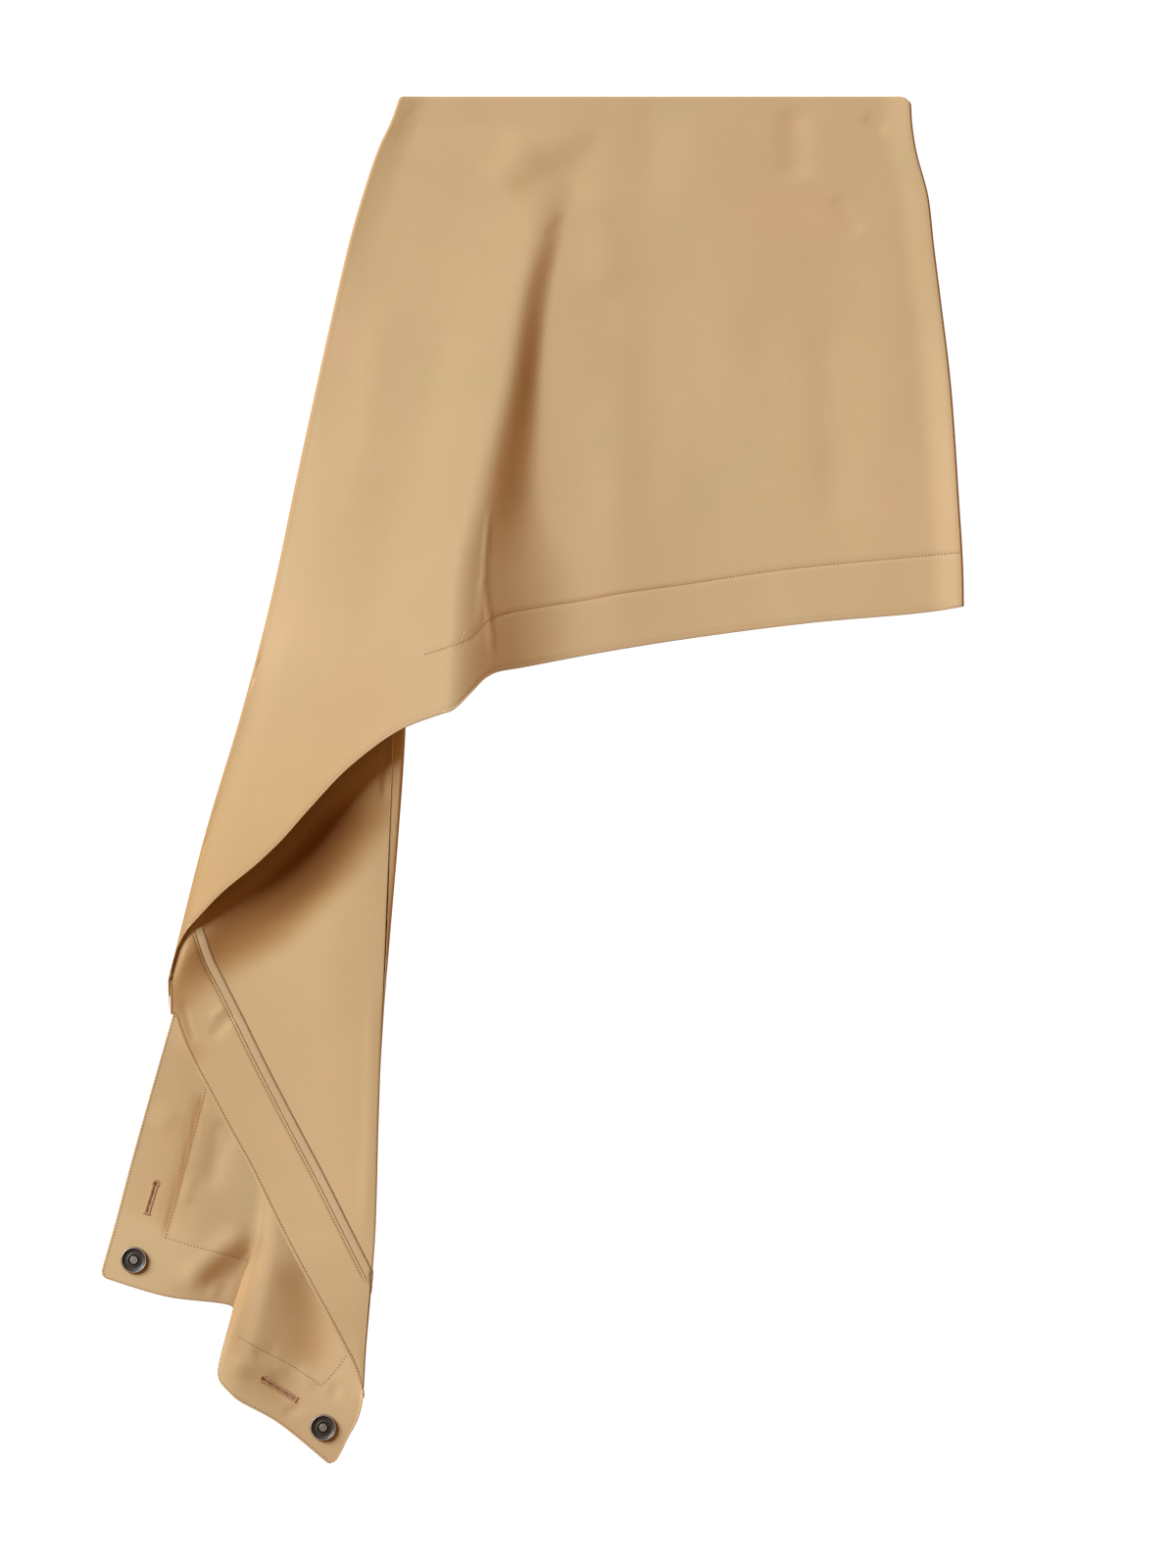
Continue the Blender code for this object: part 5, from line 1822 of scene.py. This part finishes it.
@dataclass
class Buttonhole:
    """A keyhole buttonhole: a slit with an eyelet, corded round, and a bar-tack."""

    name: str
    eyelet: Place
    end: Place
    half_gap: float = 1.15
    eyelet_radius: float = 1.9
    cord: float = 0.35        # how far outside the opening the cord's middle is
    tack_width: float = 4.6
    tack_out: float = 0.3     # how far past the slit's end the bar-tack is

    def __post_init__(self) -> None:
        """Work out the slit's length and the ways along and across it."""
        self.start = np.array(self.end)
        self.length = np.linalg.norm(np.array(self.eyelet) - self.start)
        self.axis = (np.array(self.eyelet) - self.start) / self.length
        self.side = np.array((-self.axis[1], self.axis[0]))

    def at(self, along_it: Any, across: Any) -> Array:
        """Turn distances along the slit from its end, and across it, into places."""
        along_it, across = np.broadcast_arrays(along_it, across)
        return self.start + along_it[..., None] * self.axis + across[..., None] * self.side

    def outline(self) -> Array:
        """Places round the slit, out along one side, round the eyelet and back."""
        gap = self.half_gap + self.cord
        ring = self.eyelet_radius + self.cord
        opening = np.arcsin(gap / ring)
        out = np.linspace(0.0, self.length - ring, 24)
        angle = np.linspace(np.pi - opening, opening - np.pi, 22)
        eyelet = self.at(self.length + ring * np.cos(angle), ring * np.sin(angle))
        return np.concatenate((self.at(out, gap), eyelet, self.at(out[::-1], -gap)))

    def slit(self, ground: BVHTree, finish: Material) -> Object:
        """Make the slit's painted shade, a dark thin leaf on the cloth."""
        inner = self.eyelet_radius * 0.82
        way = np.linspace(0.0, self.length + self.eyelet_radius * 0.8, 40)
        half = 0.30 + 0.10 * np.sin(way * 0.9)
        bow = 0.62 * np.sqrt(np.maximum(inner ** 2 - (way - self.length) ** 2, 0.0))
        half = np.maximum(half, bow)[:, None]
        places = self.at(way[:, None], half * (-1.0, 0.0, 1.0)).reshape(-1, 2)
        points, _ = lay_on(ground, places, 0.10)
        grid = np.array([tuple(p) for p in points]).reshape(len(way), 3, 3)
        sheet = Sheet(f"{self.name}_slit", grid, above=0.05, below=0.12, edges=Edges(False, False))
        return sheet.dress(finish, finish).object

    def build(self, ground: BVHTree, sewing: Sewing) -> list[Object]:
        """Cord the buttonhole, tack its end and make its slit."""
        cord = sewing.wardrobe.cord
        tack = self.at(-self.tack_out, np.linspace(-self.tack_width / 2, self.tack_width / 2, 8))
        return [
            sewing.line(f"{self.name}_cording", lay_on(ground, self.outline(), 0.18), SATIN, cord),
            sewing.line(f"{self.name}_tack", lay_on(ground, tack, 0.3), TACK, cord),
            self.slit(ground, sewing.wardrobe.slit),
        ]


# ---------------------------------------------------------------- studio

@dataclass
class Studio:
    """Pale floor, soft light from the upper left and the camera straight above."""

    frame_height: float = 1.152
    centre: tuple[float, float] = (0.04104, -0.00216)
    distance: float = 8.0
    sensor: float = 36.0
    clip_end: float = 100.0
    floor_size: float = 40.0
    floor_drop: float = 0.0012
    floor_grey: Colour = (0.30, 0.30, 0.30)
    floor_glow: Colour = (1.0, 0.995, 0.985)
    floor_power: float = 1.05
    sky: Colour = (1.0, 0.52, 0.20)
    sky_strength: float = 0.26
    lamp_place: tuple[float, float, float] = (-10.29, 6.68, 6.81)
    lamp_size: float = 8.0
    lamp_power: float = 3760.0
    lamp_colour: Colour = (0.77, 0.90, 1.0)

    def build(self) -> None:
        """Set up the floor, the light, the sky and the camera."""
        self.floor()
        self.lamp()
        scene = bpy.context.scene
        scene.world = bpy.data.worlds.new("studio")
        scene.world.use_nodes = True
        tree = scene.world.node_tree
        sky = {"Color": rgba(self.sky), "Strength": self.sky_strength}
        NodeBook(tree).fill(tree.nodes["Background"], sky)
        scene.view_settings.view_transform = "Standard"
        scene.view_settings.look = "None"
        self.camera()

    def lamp(self) -> None:
        """Hang the one soft area light, turned to the skirt."""
        data = bpy.data.lights.new("key light", "AREA")
        data.shape = "SQUARE"
        data.size = self.lamp_size
        data.energy = self.lamp_power
        data.color = self.lamp_colour
        thing = hang("key light", data)
        thing.location = self.lamp_place
        thing.rotation_euler = (-Vector(self.lamp_place)).to_track_quat("-Z", "Y").to_euler()

    def floor(self) -> None:
        """Make the pale floor, bright enough to read as white paper."""
        half = self.floor_size / 2
        corners = [(-half, -half), (half, -half), (half, half), (-half, half)]
        mesh = bpy.data.meshes.new("floor")
        mesh.from_pydata([(x, y, -self.floor_drop) for x, y in corners], [], [(0, 1, 2, 3)])
        mesh.materials.append(Finish("floor").set({
            "Base Color": rgba(self.floor_grey),
            "Roughness": 0.9,
            "Emission Color": rgba(self.floor_glow),
            "Emission Strength": self.floor_power,
        }))
        thing = hang("floor", mesh)
        thing.visible_diffuse = False

    def camera(self) -> None:
        """Hang the camera straight above, framed as the picture is."""
        data = bpy.data.cameras.new("camera")
        data.sensor_width = self.sensor
        data.lens = self.sensor * self.distance / self.frame_height
        data.clip_end = self.clip_end
        thing = hang("camera", data)
        thing.location = (*self.centre, self.distance)
        bpy.context.scene.camera = thing


# ---------------------------------------------------------------- the whole skirt

@dataclass
class Skirt:
    """All the skirt's panels, sewing and snaps."""

    wardrobe: Wardrobe
    outline: Outline = field(default_factory=Outline)
    snaps: tuple[RingSnap, ...] = (
        RingSnap("snap_a", -292.0, 854.5), RingSnap("snap_b", -153.0, 977.5),
    )
    buttonholes: tuple[Buttonhole, ...] = (
        Buttonhole("buttonhole_a", (-276.1, 798.5), (-282.6, 820.1)),
        Buttonhole("buttonhole_b", (-196.9, 941.8), (-173.2, 956.9)),
    )
    hem_edges: tuple[Place, ...] = ((-28.0, 316.0), (-250.0, -66.0))   # x from and to
    hem_edge: float = 1.5     # distance of these stitches from the edge

    def build(self) -> None:
        """Make every piece in order and hang it on the body."""
        wardrobe = self.wardrobe
        front = FrontPanel(self.outline)
        back = BackPanel(self.outline, front)
        upper = TailUpper(self.outline, back)
        under = TailUnder(upper)
        band = HemBand(upper)
        sewing = Sewing(wardrobe)
        front_cloth, back_cloth, upper_cloth, under_cloth, band_cloth = (
            panel.build(wardrobe) for panel in (front, back, upper, under, band))
        tape = band.build_tape(wardrobe)
        front_seams = self.front_seams(front, front_cloth.tree(), sewing)
        band_seams = join("band_stitching", [
            sewing.line("band_seam", laid, EDGE_STITCH) for laid in band.stitch_lines()
        ])
        ground = under_cloth.tree()
        under_seams = self.under_seams(under, ground, sewing)
        holes = join("buttonholes", [
            piece for hole in self.buttonholes for piece in hole.build(ground, sewing)
        ])
        dress_piece(front_cloth.object, "camel_cloth", "front_panel")
        dress_piece(back_cloth.object, "camel_cloth", "back_panel")
        dress_piece(upper_cloth.object, "wrong_side_cloth", "tail_upper")
        dress_piece(under_cloth.object, "camel_cloth", "tail_under")
        dress_piece(band_cloth.object, "band_cloth", "hem_facing")
        dress_piece(tape.object, "binding_tape", "hem_binding")
        for seams in (front_seams, band_seams, under_seams, holes):
            dress_piece(seams, "camel_cloth")
        for snap in self.snaps:
            ring, stud = snap.build(ground, wardrobe)
            dress_piece(ring, "gunmetal", f"{snap.name}_rim")
            dress_piece(stud, "dark_steel", f"{snap.name}_post")

    def front_seams(self, front: FrontPanel, ground: BVHTree, sewing: Sewing) -> Object:
        """Sew the front hem and its edge."""
        laid = lay_on(ground, along(HEM_STITCH_LINE, 260), SEWN_LIFT)
        made = [sewing.line("hem_seam", laid, TOPSTITCH)]
        for first, last in self.hem_edges:
            x = np.linspace(first, last, 260)
            level = front.hem_level(x)
            inside = self.hem_edge * np.sqrt(1.0 + np.gradient(level, x) ** 2)
            laid = lay_on(ground, np.stack((x, level - inside), axis=1), -SEWN_LIFT)
            made.append(sewing.line("hem_edge_seam", laid, EDGE_STITCH))
        return join("front_stitching", made)

    def under_seams(self, under: TailUnder, ground: BVHTree, sewing: Sewing) -> Object:
        """Sew the under layer's hems and edges."""
        made = [sewing.line("tail_seam", lay_on(ground, along(line, 90), SEWN_LIFT), TOPSTITCH)
                for line in under.groove_lines]
        station = np.linspace(0.50, 0.996, 260)
        place = np.linspace(0.03, 5.9, 300)
        for at in ((np.full_like(station, 0.03), station), (place, np.full_like(place, 0.9975))):
            x, down, _ = under.across(*at)
            laid = lay_on(ground, np.stack(under.rounded(x, down), axis=1))
            made.append(sewing.line("tail_edge_seam", laid, EDGE_STITCH))
        return join("tail_stitching", made)


def main() -> None:
    """Build the studio and the skirt, logging each piece's face count."""
    logging.basicConfig(level=logging.INFO, format="%(message)s")
    Studio().build()
    Skirt(Wardrobe()).build()


if __name__ == "__main__":
    main()
